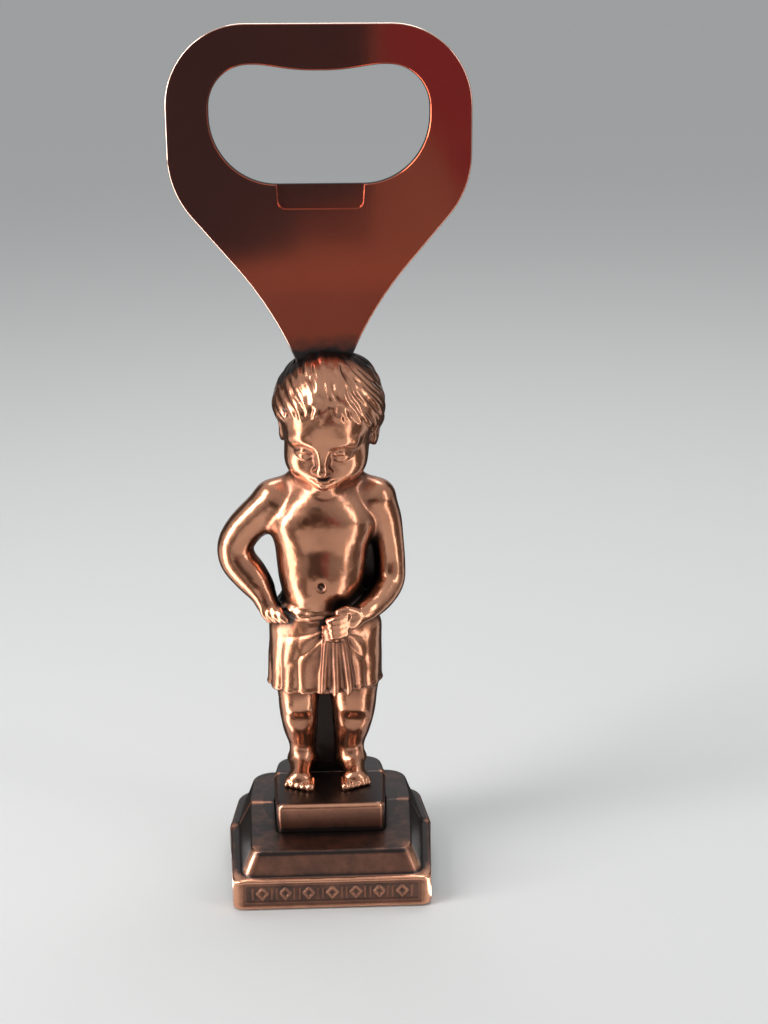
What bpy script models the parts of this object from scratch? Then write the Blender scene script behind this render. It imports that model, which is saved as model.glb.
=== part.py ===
"""Souvenir bottle opener: a stamped steel opener plate pinned into the head of a cast
figure, whose plinth is screwed down onto a hollow stepped base with a felt pad.

Row frame: metres, +Z up, the figure faces -Y, the origin is at the centre of the
bounding box's bottom face. The plate and both castings' parting line lie in the
plane y = PARTING_Y.
"""

import math

import bmesh
import bpy
from mathutils import Matrix, Vector

MM = 0.001
GAP = 0.3 * MM  # clearance between neighbouring pieces

HEIGHT = 130.0 * MM
PARTING_Y = 1.8 * MM

# Opener plate: one stamping, its tang runs down into the head.
PLATE_THICK = 1.8 * MM
PLATE_HALF_WIDTH = 21.8 * MM
PLATE_TOP_RADIUS = 11.5 * MM
PLATE_LOW_CORNER_Z = 107.0 * MM
PLATE_LOW_RADIUS = 13.4 * MM
PLATE_WAIST = (7.8 * MM, 90.6 * MM)
PLATE_WAIST_RADIUS = 52.0 * MM
PLATE_EDGE_BEVEL = 0.25 * MM
TANG_HALF_WIDTH = 4.1 * MM
TANG_END_HALF_WIDTH = 3.2 * MM
TANG_SHOULDER_Z = 82.4 * MM
TANG_END_Z = 69.5 * MM

# The hole that takes a crown cap.
HOLE_HALF_WIDTH = 15.7 * MM
HOLE_BOTTOM_Z = 107.9 * MM
HOLE_TOP_Z = 124.45 * MM
HOLE_LOW_RADIUS = 9.5 * MM
HOLE_TOP_RADIUS = 5.9 * MM

# The hole's top edge sags in one shallow wave, between a lobe at each side.
HOLE_DIP_Z = 123.6 * MM
HOLE_DIP_HALF_WIDTH = 3.0 * MM
HOLE_DIP_RADIUS = 33.0 * MM
HOLE_LOBE_X = 8.4 * MM
HOLE_LOBE_RADIUS = 15.0 * MM
HOLE_SHOULDER_Z = 124.3 * MM

# The lip below the hole, pressed back to catch under the cap's skirt.
LIP_HALF_WIDTH = 6.5 * MM
LIP_DEPTH = 3.5 * MM
LIP_PRESS = 0.45 * MM
LIP_RADIUS = 1.2 * MM
LIP_SKIN = 0.6 * MM

# Cross pin through the back of the head and the tang.
PIN_RADIUS = 1.0 * MM
PIN_Z = 75.0 * MM
PIN_FRONT_REACH = 2.6 * MM
PIN_BACK_REACH = 7.4 * MM

# Base casting, as plan outlines about the parting line. Tops fall away from it.
RIM_Z = 0.3 * MM
SLAB_FRONT = 17.0 * MM
SLAB_RIDGE_Z = 5.6 * MM
STEP_RIDGE_Z = 9.8 * MM
BASE_FALL = 0.036
BASE_WALL = 2.0 * MM
SOCKET_DEPTH = 0.9 * MM
BOSS_RADIUS = 4.6 * MM
BOSS_DROP = 1.4 * MM
CAVITY_TOP_Z = 7.0 * MM
EDGE_BEVEL = 0.35 * MM
PANEL_SIZE = (26.2 * MM, 0.7 * MM, 2.9 * MM)
PANEL_MIDDLE_Z = 2.55 * MM

# Plinth block under the feet, cast with the figure.
PLINTH_RIDGE_Z = 14.9 * MM
PLINTH_FALL = 0.09

# Fixing screw, washer and pad.
SCREW_RADIUS = 1.5 * MM
SCREW_HEAD_RADIUS = 2.8 * MM
SCREW_HEAD_HEIGHT = 2.0 * MM
SCREW_TOP_Z = 13.0 * MM
SCREW_RECESS = (3.4 * MM, 0.8 * MM, 1.8 * MM)
WASHER_RADIUS = 3.6 * MM
WASHER_THICK = 0.6 * MM
PAD_THICK = 1.0 * MM
PAD_INSET = 1.3 * MM

FIGURE_VOXEL = 0.8 * MM
FIGURE_DECIMATE = 0.3


def mm(x, y, z):
    """A point given in millimetres from the parting plane, in metres in the row frame."""
    return Vector((x * MM, y * MM + PARTING_Y, z * MM))


# ---------------------------------------------------------------- materials


def metal(name, colour, roughness, metallic=1.0):
    material = bpy.data.materials.new(name)
    material.use_nodes = True
    shader = material.node_tree.nodes["Principled BSDF"]
    shader.inputs["Base Color"].default_value = (*colour, 1.0)
    shader.inputs["Roughness"].default_value = roughness
    shader.inputs["Metallic"].default_value = metallic
    return material


def polished_copper():
    return metal("polished_copper", (0.50, 0.14, 0.075), 0.12)


def cast_copper():
    return metal("cast_copper", (0.62, 0.30, 0.18), 0.25)


def plated_steel():
    return metal("plated_steel", (0.55, 0.55, 0.56), 0.3)


def felt():
    return metal("felt", (0.03, 0.07, 0.04), 0.95, metallic=0.0)


# ---------------------------------------------------------------- outlines


def rounded(corners, segments=6):
    """A closed outline of 2D points through corners (x, y, radius), each one an arc."""
    points = []
    count = len(corners)
    for i, (x, y, radius) in enumerate(corners):
        here = Vector((x, y))
        to_last = Vector(corners[i - 1][:2]) - here
        to_next = Vector(corners[(i + 1) % count][:2]) - here
        if radius <= 0:
            points.append(here)
            continue
        to_last.normalize()
        to_next.normalize()
        half = to_last.angle(to_next) / 2
        middle = (to_last + to_next).normalized()
        centre = here + middle * (radius / math.sin(half))
        reach = radius / math.tan(half)
        start = here + to_last * reach - centre
        end = here + to_next * reach - centre
        turn = start.angle_signed(end)
        for k in range(segments + 1):
            angle = -turn * k / segments
            points.append(centre + Matrix.Rotation(angle, 2) @ start)
    return points


def grown(outline, by):
    """The outline moved outwards all round, for the pocket that it fits."""
    moved = []
    for last, here, after in zip(outline[-1:] + outline[:-1], outline, outline[1:] + outline[:1]):
        along = (here - last).normalized() + (after - here).normalized()
        out = Vector((-along.y, along.x)).normalized()
        moved.append(here + out * by)
    return moved


def mirrored(half):
    """A closed outline from its right half, which runs from the middle to the middle."""
    left = [(-x, y, radius) for x, y, radius in reversed(half) if x > 0]
    return half + left


def plate_outline():
    return rounded(
        mirrored(
            [
                (PLATE_HALF_WIDTH, HEIGHT, PLATE_TOP_RADIUS),
                (PLATE_HALF_WIDTH, PLATE_LOW_CORNER_Z, PLATE_LOW_RADIUS),
                (*PLATE_WAIST, PLATE_WAIST_RADIUS),
                (TANG_HALF_WIDTH, TANG_SHOULDER_Z, 2 * MM),
                (TANG_END_HALF_WIDTH, TANG_END_Z, 1 * MM),
            ]
        ),
        segments=12,
    )


def hole_outline():
    return rounded(
        mirrored(
            [
                (HOLE_DIP_HALF_WIDTH, HOLE_DIP_Z, HOLE_DIP_RADIUS),
                (HOLE_LOBE_X, HOLE_TOP_Z, HOLE_LOBE_RADIUS),
                (HOLE_HALF_WIDTH, HOLE_SHOULDER_Z, HOLE_TOP_RADIUS),
                (HOLE_HALF_WIDTH, HOLE_BOTTOM_Z, HOLE_LOW_RADIUS),
            ]
        ),
        segments=8,
    )


def lip_outline(top, grow=0.0):
    half = LIP_HALF_WIDTH + grow
    low = HOLE_BOTTOM_Z - LIP_DEPTH - grow
    corners = [(half, top, 0), (half - 0.4 * MM, low, LIP_RADIUS + grow)]
    return rounded(mirrored(corners), segments=4)


def plan(front, front_half, side_half, rear, rear_half, radii, inset=0.0):
    """A plan outline about the parting line: the sides are widest there, as cast."""
    front_radius, rear_radius = radii
    corners = [
        (front_half - inset, -front + inset, front_radius),
        (side_half - inset, 0.0, 0.0),
        (rear_half - inset, rear - inset, rear_radius),
        (-rear_half + inset, rear - inset, rear_radius),
        (-side_half + inset, 0.0, 0.0),
        (-front_half + inset, -front + inset, front_radius),
    ]
    return rounded(corners, segments=4)


def slab_plan(inset=0.0):
    return plan(SLAB_FRONT, 15.3 * MM, 16.3 * MM, 13.4 * MM, 15 * MM, (1.3 * MM, 3.2 * MM), inset)


def step_low_plan(inset=0.0):
    return plan(16.2 * MM, 13.9 * MM, 14.9 * MM, 12.7 * MM, 13.7 * MM, (1 * MM, 2.9 * MM), inset)


def step_top_plan(inset=0.0):
    return plan(15.3 * MM, 12.3 * MM, 12.9 * MM, 11.5 * MM, 12.5 * MM, (1 * MM, 2.7 * MM), inset)


def plinth_plan(inset=0.0):
    return plan(9.7 * MM, 8.5 * MM, 8.95 * MM, 7.3 * MM, 8.2 * MM, (0.8 * MM, 2.4 * MM), inset)


# ---------------------------------------------------------------- mesh helpers


def finish(name, bm, material, smooth=True):
    """A linked object from a bmesh."""
    bmesh.ops.recalc_face_normals(bm, faces=bm.faces)
    mesh = bpy.data.meshes.new(name)
    bm.to_mesh(mesh)
    bm.free()
    if smooth:
        mesh.shade_smooth()
        mesh.set_sharp_from_angle(angle=math.radians(32))
    obj = bpy.data.objects.new(name, mesh)
    bpy.context.scene.collection.objects.link(obj)
    if material:
        mesh.materials.append(material)
    return obj


def helper(obj):
    """Marks a cutter or other construction body, which isn't a piece."""
    obj.hide_render = True
    obj.display_type = "WIRE"
    return obj


def stack(bm, levels):
    """A closed body through plan outlines: levels are (outline, ridge z, fall per metre)."""
    loops = []
    for outline, ridge, fall in levels:
        loops.append(
            [bm.verts.new((p.x, p.y + PARTING_Y, ridge - fall * abs(p.y))) for p in outline]
        )
    for low, high in zip(loops, loops[1:]):
        for i in range(len(low)):
            j = (i + 1) % len(low)
            bm.faces.new((low[i], low[j], high[j], high[i]))
    for loop in (loops[0], loops[-1]):
        sides = [i for i, v in enumerate(loop) if abs(v.co.y - PARTING_Y) < 1e-7]
        a, b = sides
        bm.faces.new(loop[a : b + 1])
        bm.faces.new(loop[b:] + loop[: a + 1])
    return bm


def cylinder(bm, radius, start, end, segments=24, chamfer=0.0):
    """A round bar between two points, with an optional chamfer at both ends."""
    axis = end - start
    turn = axis.to_track_quat("Z", "Y").to_matrix().to_4x4()
    rings = [(radius - chamfer, 0.0), (radius, chamfer)]
    rings += [(radius, axis.length - chamfer), (radius - chamfer, axis.length)]
    if chamfer <= 0:
        rings = [rings[0], rings[-1]]
    loops = []
    for r, along in rings:
        loop = []
        for k in range(segments):
            angle = 2 * math.pi * k / segments
            local = Vector((r * math.cos(angle), r * math.sin(angle), along))
            loop.append(bm.verts.new(start + turn @ local))
        loops.append(loop)
    for low, high in zip(loops, loops[1:]):
        for i in range(segments):
            j = (i + 1) % segments
            bm.faces.new((low[i], low[j], high[j], high[i]))
    bm.faces.new(reversed(loops[0]))
    bm.faces.new(loops[-1])
    return bm


def upright_bar(radius, low, high):
    """A round bar on the screw's axis, between two heights."""
    ends = [Vector((0, PARTING_Y, z)) for z in (low, high)]
    return cylinder(bmesh.new(), radius, *ends)


def lying_bar(radius, front, back, chamfer=0.0):
    """A round bar on the pin's axis, between two depths from the parting plane."""
    ends = [Vector((0, PARTING_Y + y, PIN_Z)) for y in (front, back)]
    return cylinder(bmesh.new(), radius, *ends, chamfer=chamfer)


def prism(bm, outline, front, back):
    """An upright sheet shape: an outline in X and Z, between two depths from the parting plane."""
    near, far = [
        [bm.verts.new((p.x, PARTING_Y + y, p.y)) for p in outline] for y in (front, back)
    ]
    for i in range(len(near)):
        j = (i + 1) % len(near)
        bm.faces.new((near[i], near[j], far[j], far[i]))
    bm.faces.new(near)
    bm.faces.new(reversed(far))
    return bm


def bevel(obj, width, segments=2, angle=35):
    modifier = obj.modifiers.new("bevel", "BEVEL")
    modifier.width = width
    modifier.segments = segments
    modifier.limit_method = "ANGLE"
    modifier.angle_limit = math.radians(angle)
    modifier.use_clamp_overlap = True


def boolean(obj, other, operation):
    modifier = obj.modifiers.new(other.name, "BOOLEAN")
    modifier.operation = operation
    modifier.object = other
    modifier.solver = "EXACT"


def cut(obj, cutter):
    boolean(obj, helper(cutter), "DIFFERENCE")


def join(obj, addition):
    boolean(obj, helper(addition), "UNION")


# ---------------------------------------------------------------- opener plate


def plate_blank(material):
    """The flat stamping with its hole, as a filled 2D curve stood upright."""
    curve = bpy.data.curves.new("opener_blank", "CURVE")
    curve.dimensions = "2D"
    curve.fill_mode = "BOTH"
    curve.extrude = PLATE_THICK / 2 - PLATE_EDGE_BEVEL
    curve.bevel_depth = PLATE_EDGE_BEVEL
    curve.bevel_resolution = 0
    curve.offset = -PLATE_EDGE_BEVEL
    for outline in (plate_outline(), hole_outline()):
        spline = curve.splines.new("POLY")
        spline.points.add(len(outline) - 1)
        for point, p in zip(spline.points, outline):
            point.co = (p.x, p.y, 0.0, 1.0)
        spline.use_cyclic_u = True
    source = bpy.data.objects.new("opener_blank", curve)
    bpy.context.scene.collection.objects.link(source)
    mesh = bpy.data.meshes.new_from_object(source)
    bpy.data.objects.remove(source)
    bm = bmesh.new()
    bm.from_mesh(mesh)
    bmesh.ops.remove_doubles(bm, verts=bm.verts, dist=0.001 * MM)
    upright = Matrix.Translation((0, PARTING_Y, 0)) @ Matrix.Rotation(math.pi / 2, 4, "X")
    bmesh.ops.transform(bm, matrix=upright, verts=bm.verts)
    return finish("opener_plate", bm, material)


def opener_plate():
    plate = plate_blank(polished_copper())
    half = PLATE_THICK / 2
    skin_top = HOLE_BOTTOM_Z - 0.1 * MM
    skin = prism(bmesh.new(), lip_outline(skin_top, LIP_SKIN), half - 0.5 * MM, half + LIP_PRESS)
    join(plate, finish("lip_back", skin, None))
    pocket_top = HOLE_BOTTOM_Z + 2 * MM
    pocket = prism(bmesh.new(), lip_outline(pocket_top), -half - MM, -half + LIP_PRESS)
    cut(plate, finish("lip_pocket", pocket, None))
    cut(plate, finish("tang_hole", lying_bar(PIN_RADIUS + GAP, -5 * MM, 5 * MM), None))
    return plate


def tang_pin():
    bar = lying_bar(PIN_RADIUS, -PIN_FRONT_REACH, PIN_BACK_REACH, chamfer=0.2 * MM)
    return finish("tang_pin", bar, plated_steel())


# ---------------------------------------------------------------- base


def base():
    body = bmesh.new()
    stack(
        body,
        [
            (slab_plan(), RIM_Z, 0.0),
            (slab_plan(), SLAB_RIDGE_Z, BASE_FALL),
            (step_low_plan(), SLAB_RIDGE_Z + 0.4 * MM, BASE_FALL),
            (step_top_plan(), STEP_RIDGE_Z, BASE_FALL),
        ],
    )
    base_obj = finish("base", body, cast_copper())
    bevel(base_obj, EDGE_BEVEL)
    cavity = stack(
        bmesh.new(),
        [
            (slab_plan(BASE_WALL), -1 * MM, 0.0),
            (slab_plan(BASE_WALL), SLAB_RIDGE_Z - 2.2 * MM, BASE_FALL),
            (step_top_plan(BASE_WALL), CAVITY_TOP_Z, BASE_FALL),
        ],
    )
    cut(base_obj, finish("base_cavity", cavity, None))
    boss = upright_bar(BOSS_RADIUS, CAVITY_TOP_Z - BOSS_DROP, CAVITY_TOP_Z + MM)
    join(base_obj, finish("base_boss", boss, None))
    pad_recess = stack(
        bmesh.new(),
        [(slab_plan(PAD_INSET - GAP), z, 0.0) for z in (-1 * MM, PAD_THICK + GAP)],
    )
    cut(base_obj, finish("pad_recess", pad_recess, None))
    socket = stack(
        bmesh.new(),
        [(plinth_plan(-GAP), z, 0.0) for z in (STEP_RIDGE_Z - SOCKET_DEPTH, STEP_RIDGE_Z + 3 * MM)],
    )
    cut(base_obj, finish("plinth_socket", socket, None))
    hole = upright_bar(SCREW_RADIUS + GAP, 0, SCREW_TOP_Z)
    cut(base_obj, finish("base_screw_hole", hole, None))
    panel = bmesh.new()
    place = Matrix.Translation((0, PARTING_Y - SLAB_FRONT, PANEL_MIDDLE_Z))
    bmesh.ops.create_cube(panel, size=1, matrix=place @ Matrix.Diagonal((*PANEL_SIZE, 1)))
    cut(base_obj, finish("front_panel", panel, None))
    return base_obj


def base_screw():
    head_top = CAVITY_TOP_Z - BOSS_DROP - WASHER_THICK - 2 * GAP
    bm = bmesh.new()
    profile = [
        (0.0, head_top - SCREW_HEAD_HEIGHT),
        (SCREW_HEAD_RADIUS * 0.72, head_top - SCREW_HEAD_HEIGHT),
        (SCREW_HEAD_RADIUS, head_top - SCREW_HEAD_HEIGHT * 0.6),
        (SCREW_HEAD_RADIUS, head_top),
        (SCREW_RADIUS, head_top),
        (SCREW_RADIUS, SCREW_TOP_Z - 0.6 * MM),
        (SCREW_RADIUS - 0.5 * MM, SCREW_TOP_Z),
        (0.0, SCREW_TOP_Z),
    ]
    verts = [bm.verts.new((r, PARTING_Y, z)) for r, z in profile]
    edges = [bm.edges.new(pair) for pair in zip(verts, verts[1:])]
    bmesh.ops.spin(
        bm,
        geom=verts + edges,
        cent=(0, PARTING_Y, 0),
        axis=(0, 0, 1),
        angle=2 * math.pi,
        steps=24,
        use_merge=True,
    )
    bmesh.ops.remove_doubles(bm, verts=bm.verts, dist=0.001 * MM)
    screw = finish("base_screw", bm, plated_steel())
    place = Matrix.Translation((0, PARTING_Y, head_top - SCREW_HEAD_HEIGHT))
    size = Matrix.Diagonal((*SCREW_RECESS, 1))
    for turn in (0, math.pi / 2):
        slot = bmesh.new()
        bmesh.ops.create_cube(slot, size=1, matrix=place @ Matrix.Rotation(turn, 4, "Z") @ size)
        cut(screw, finish("screw_recess", slot, None))
    return screw


def washer():
    top = CAVITY_TOP_Z - BOSS_DROP - GAP
    low = top - WASHER_THICK
    disc = finish("washer", upright_bar(WASHER_RADIUS, low, top), plated_steel())
    bore = upright_bar(SCREW_RADIUS + GAP, low - MM, top + MM)
    cut(disc, finish("washer_bore", bore, None))
    return disc


def base_pad():
    bm = stack(bmesh.new(), [(slab_plan(PAD_INSET), z, 0.0) for z in (0.0, PAD_THICK)])
    return finish("base_pad", bm, felt(), smooth=False)


# ---------------------------------------------------------------- figure


def ball(bm, centre, radii, tilt=0.0):
    """An ellipsoid, turned about the X axis by tilt degrees."""
    place = Matrix.Translation(centre) @ Matrix.Rotation(math.radians(tilt), 4, "X")
    size = Matrix.Diagonal((*[r * MM for r in radii], 1))
    bmesh.ops.create_icosphere(bm, subdivisions=3, radius=1, matrix=place @ size)


def limb(bm, start, start_radius, end, end_radius):
    """A tapered round limb: the hull of two balls."""
    part = bmesh.new()
    for centre, radius in ((start, start_radius), (end, end_radius)):
        place = Matrix.Translation(centre) @ Matrix.Scale(radius * MM, 4)
        bmesh.ops.create_icosphere(part, subdivisions=2, radius=1, matrix=place)
    hull = bmesh.ops.convex_hull(part, input=part.verts)
    inside = [g for g in hull["geom_interior"] if isinstance(g, bmesh.types.BMVert)]
    bmesh.ops.delete(part, geom=inside, context="VERTS")
    mesh = bpy.data.meshes.new("limb")
    part.to_mesh(mesh)
    part.free()
    bm.from_mesh(mesh)
    bpy.data.meshes.remove(mesh)


def chain(bm, joints):
    """Limbs through a row of joints (x, y, z, radius), in millimetres."""
    for a, b in zip(joints, joints[1:]):
        limb(bm, mm(*a[:3]), a[3], mm(*b[:3]), b[3])


def head(bm):
    ball(bm, mm(0.5, -0.4, 75.2), (8.2, 8.6, 8.2))
    ball(bm, mm(0.5, -1.8, 70.2), (7.0, 6.6, 7.4))
    ball(bm, mm(0.7, -8.2, 69.2), (1.0, 1.2, 1.4))
    ball(bm, mm(0.6, -5.4, 64.6), (2.2, 1.9, 1.8))
    for side in (-1, 1):
        ball(bm, mm(0.5 + side * 3.3, -5.4, 67.6), (2.9, 2.6, 2.8))
        ball(bm, mm(0.5 + side * 7.9, 0.4, 71.4), (0.9, 1.5, 2.1))
    chain(bm, [(0.2, -0.2, 67.0, 4.0), (0.0, 0.4, 61.0, 4.4)])


def torso(bm):
    ball(bm, mm(-0.6, 0.2, 57.4), (7.4, 4.9, 6.0))
    ball(bm, mm(-0.8, 0.0, 51.0), (5.7, 4.9, 6.5))
    ball(bm, mm(-0.9, -1.4, 47.2), (5.2, 5.3, 5.6))
    ball(bm, mm(-0.5, 0.3, 42.0), (7.5, 5.4, 5.4))
    chain(bm, [(-8.6, 0.5, 60.0, 2.7), (0.0, 0.6, 61.6, 3.4), (8.0, 0.5, 60.2, 2.7)])


def arms(bm):
    chain(bm, [(-9.0, 0.5, 59.8, 2.75), (-14.4, 1.6, 53.2, 2.3), (-10.2, -1.2, 46.2, 1.7)])
    chain(bm, [(-10.2, -1.2, 46.2, 1.7), (-9.2, -2.2, 43.4, 2.0), (-8.6, -2.4, 41.6, 1.4)])
    chain(bm, [(8.3, 0.5, 59.8, 2.75), (9.9, 1.2, 48.4, 2.4), (5.2, -5.8, 43.6, 1.6)])
    chain(bm, [(7.2, 1.6, 56.0, 1.4), (6.4, 1.6, 50.0, 1.6), (7.4, 0.4, 45.0, 1.5)])
    chain(bm, [(5.2, -5.8, 43.6, 1.6), (2.6, -6.8, 42.6, 1.9), (1.2, -6.8, 41.6, 1.6)])


def legs(bm):
    for side in (-1, 1):
        x = -0.2 + 4.9 * side
        hip, knee = (x, 0.2, 38.0, 4.1), (x, -0.4, 27.2, 2.9)
        calf, ankle = (x, 0.6, 23.0, 2.5), (x - 0.4 * side, 0.9, 16.8, 1.9)
        chain(bm, [hip, knee, calf, ankle, (x, -4.4, 15.4, 2.0)])
    for x in (-3.2, -0.2, 2.8):
        chain(bm, [(x, 2.0, 38.0, 1.5), (x, 2.0, 15.0, 1.5)])


def wrap(bm):
    """The cloth about the hips, gathered at the hand that holds it."""
    outer = [(44.6, 7.9, 6.0), (40.0, 8.9, 6.5), (31.0, 9.5, 6.9)]
    rings = []
    for z, across, deep in outer:
        ring = []
        for k in range(40):
            angle = 2 * math.pi * k / 40
            flute = 1.0 + 0.035 * math.cos(10 * angle) * (45 - z) / 14
            spot = mm(-0.4 + across * flute * math.cos(angle), deep * flute * math.sin(angle), z)
            ring.append(bm.verts.new(spot))
        rings.append(ring)
    for high, low in zip(rings, rings[1:]):
        for i in range(40):
            j = (i + 1) % 40
            bm.faces.new((low[i], low[j], high[j], high[i]))
    bm.faces.new(rings[0])
    bm.faces.new(reversed(rings[-1]))
    chain(bm, [(1.8, -6.6, 40.6, 1.5), (2.2, -6.9, 35.6, 1.7), (2.6, -6.8, 30.6, 1.3)])


def melted(name, bm, material):
    """One skin over overlapping solids, slightly smoothed, with its modifiers applied."""
    lump = finish(name, bm, material, smooth=False)
    remesh = lump.modifiers.new("skin", "REMESH")
    remesh.mode = "VOXEL"
    remesh.voxel_size = FIGURE_VOXEL
    soften = lump.modifiers.new("soften", "SMOOTH")
    soften.factor = 0.5
    soften.iterations = 3
    thin = lump.modifiers.new("thin", "DECIMATE")
    thin.ratio = FIGURE_DECIMATE
    bpy.context.view_layer.update()
    graph = bpy.context.evaluated_depsgraph_get()
    mesh = bpy.data.meshes.new_from_object(lump.evaluated_get(graph))
    lump.modifiers.clear()
    lump.data = mesh
    mesh.shade_smooth()
    return lump


def figure():
    bm = bmesh.new()
    for build in (head, torso, arms, legs, wrap):
        build(bm)
    body = melted("figure", bm, cast_copper())
    low = STEP_RIDGE_Z - SOCKET_DEPTH + GAP
    block = stack(
        bmesh.new(),
        [
            (plinth_plan(), low, 0.0),
            (plinth_plan(), PLINTH_RIDGE_Z - 0.7 * MM, PLINTH_FALL),
            (plinth_plan(0.6 * MM), PLINTH_RIDGE_Z, PLINTH_FALL),
        ],
    )
    join(body, finish("plinth", block, None))
    slot_half = PLATE_THICK / 2 + GAP
    slot = prism(bmesh.new(), grown(plate_outline(), GAP), -slot_half, slot_half)
    cut(body, finish("tang_slot", slot, None))
    hole = lying_bar(PIN_RADIUS + GAP, -PIN_FRONT_REACH - GAP, 12 * MM)
    cut(body, finish("pin_hole", hole, None))
    thread = upright_bar(SCREW_RADIUS + GAP, 5 * MM, SCREW_TOP_Z + GAP)
    cut(body, finish("thread_hole", thread, None))
    return body


def main():
    for obj in list(bpy.data.objects):
        bpy.data.objects.remove(obj, do_unlink=True)
    opener_plate()
    tang_pin()
    figure()
    base()
    base_screw()
    washer()
    base_pad()


main()
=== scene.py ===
"""The looks of a souvenir bottle opener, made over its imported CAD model.

A copper-plated stamping stands in the head of a cast figure, which stands on a stepped base.
Lengths are in millimetres and become metres when a mesh is made. A depth, y, is counted from
the castings' parting plane, which the plate lies in too, and the front is at negative y.
"""

import math
from collections import namedtuple

import bmesh
import bpy
import numpy as np
from mathutils import Matrix, Vector


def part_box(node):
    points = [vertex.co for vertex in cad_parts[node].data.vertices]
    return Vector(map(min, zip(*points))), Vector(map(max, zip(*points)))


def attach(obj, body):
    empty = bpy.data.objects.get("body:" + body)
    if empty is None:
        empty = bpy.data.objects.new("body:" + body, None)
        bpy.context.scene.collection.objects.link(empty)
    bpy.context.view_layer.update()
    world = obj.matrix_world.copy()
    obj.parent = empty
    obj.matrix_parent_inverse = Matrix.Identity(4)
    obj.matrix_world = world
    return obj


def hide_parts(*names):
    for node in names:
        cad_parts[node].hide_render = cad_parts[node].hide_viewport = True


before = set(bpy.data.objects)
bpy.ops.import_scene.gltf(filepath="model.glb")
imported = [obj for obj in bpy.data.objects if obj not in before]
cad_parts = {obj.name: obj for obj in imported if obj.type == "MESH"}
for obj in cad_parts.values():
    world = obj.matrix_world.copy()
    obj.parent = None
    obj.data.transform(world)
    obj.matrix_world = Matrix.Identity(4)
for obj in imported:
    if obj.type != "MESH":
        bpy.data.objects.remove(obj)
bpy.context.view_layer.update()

MM = 0.001
FAR = 50.0

# Opener plate
PLATE_THICK = 1.8
PLATE_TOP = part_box("opener_plate")[1].z / MM
PLATE_HALF_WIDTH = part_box("opener_plate")[1].x / MM
TANG_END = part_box("opener_plate")[0].z / MM
PARTING_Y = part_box("opener_plate")[0].y / MM + PLATE_THICK / 2
LIP_HALF_TOP, LIP_HALF_FOOT = 6.5, 6.1
LIP_FOOT, LIP_CORNER = 104.4, 1.2
LIP_PRESS = 0.45
# Two heights the lip's outline runs up to: well inside the hole, and just under the hole's edge
IN_HOLE, UNDER_HOLE = 112.0, 107.8
PIN_HEIGHT = (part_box("tang_pin")[0].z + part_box("tang_pin")[1].z) / 2 / MM

# Base and plinth. A fall is how far a top drops for each millimetre from the parting line.
BASE_FALL, PLINTH_FALL = 0.036, 0.09
FRONT_COLUMNS = 170
SEAM_HALF = 0.07
BASE_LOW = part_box("base")[0].z / MM
SLAB_FRONT = PARTING_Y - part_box("base")[0].y / MM
PAD_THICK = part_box("base_pad")[1].z / MM
PLINTH_TOP = 14.9

# Clay, the sampled field that the figure is sculpted in
CLAY_STEP = 0.19
CLAY_LOW = (-17.6, -11.4, 13.2)
CLAY_HIGH = (13.6, 11.0, 85.6)
KEPT_FACES = 150000


# ---- outlines


def rounded(corners, segments=8):
    """A closed outline of 2D points through corners (x, y, radius), each one an arc."""
    points = []
    count = len(corners)
    for i, (x, y, radius) in enumerate(corners):
        here = Vector((x, y))
        if radius <= 0:
            points.append(here)
            continue
        to_last = (Vector(corners[i - 1][:2]) - here).normalized()
        to_next = (Vector(corners[(i + 1) % count][:2]) - here).normalized()
        half = to_last.angle(to_next) / 2
        centre = here + (to_last + to_next).normalized() * (radius / math.sin(half))
        start = here + to_last * (radius / math.tan(half)) - centre
        end = here + to_next * (radius / math.tan(half)) - centre
        turn = start.angle_signed(end)
        for k in range(segments + 1):
            points.append(centre + Matrix.Rotation(-turn * k / segments, 2) @ start)
    return points


def mirrored(half):
    """A closed outline from its right half, which runs from the middle to the middle."""
    return half + [(-x, y, radius) for x, y, radius in reversed(half) if x > 0]


def grown(outline, by):
    """The outline moved outwards all round."""
    moved = []
    for last, here, after in zip(outline[-1:] + outline[:-1], outline, outline[1:] + outline[:1]):
        along = (here - last).normalized() + (after - here).normalized()
        moved.append(here + Vector((-along.y, along.x)).normalized() * by)
    return moved


# ---- pieces


def in_scene(name, data):
    """A new object that shows a mesh, a light or a camera's data."""
    obj = bpy.data.objects.new(name, data)
    bpy.context.scene.collection.objects.link(obj)
    return obj


def applied(obj):
    """The object's mesh as its modifiers leave it."""
    bpy.context.view_layer.update()
    graph = bpy.context.evaluated_depsgraph_get()
    return bpy.data.meshes.new_from_object(obj.evaluated_get(graph))


def piece(name, mesh, material, stands_for=()):
    """A visible piece of the object, which rides on its only body."""
    obj = in_scene(name, mesh)
    mesh.materials.clear()
    mesh.materials.append(material)
    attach(obj, "root")
    if stands_for:
        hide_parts(*stands_for)
    return obj


def mesh_from(name, points, faces, sharp_angle=None):
    """A smooth mesh from points in millimetres about the parting plane, and equal-sided faces."""
    points = (np.asarray(points, np.float64) + (0.0, PARTING_Y, 0.0)) * MM
    faces = np.asarray(faces, np.int32)
    sides = faces.shape[1]
    mesh = bpy.data.meshes.new(name)
    mesh.vertices.add(len(points))
    mesh.vertices.foreach_set("co", points.astype(np.float32).ravel())
    mesh.loops.add(faces.size)
    mesh.loops.foreach_set("vertex_index", faces.ravel())
    mesh.polygons.add(len(faces))
    mesh.polygons.foreach_set("loop_start", np.arange(0, faces.size, sides, dtype=np.int32))
    mesh.update(calc_edges=True)
    mesh.shade_smooth()
    if sharp_angle:
        mesh.set_sharp_from_angle(angle=math.radians(sharp_angle))
    return mesh


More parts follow.
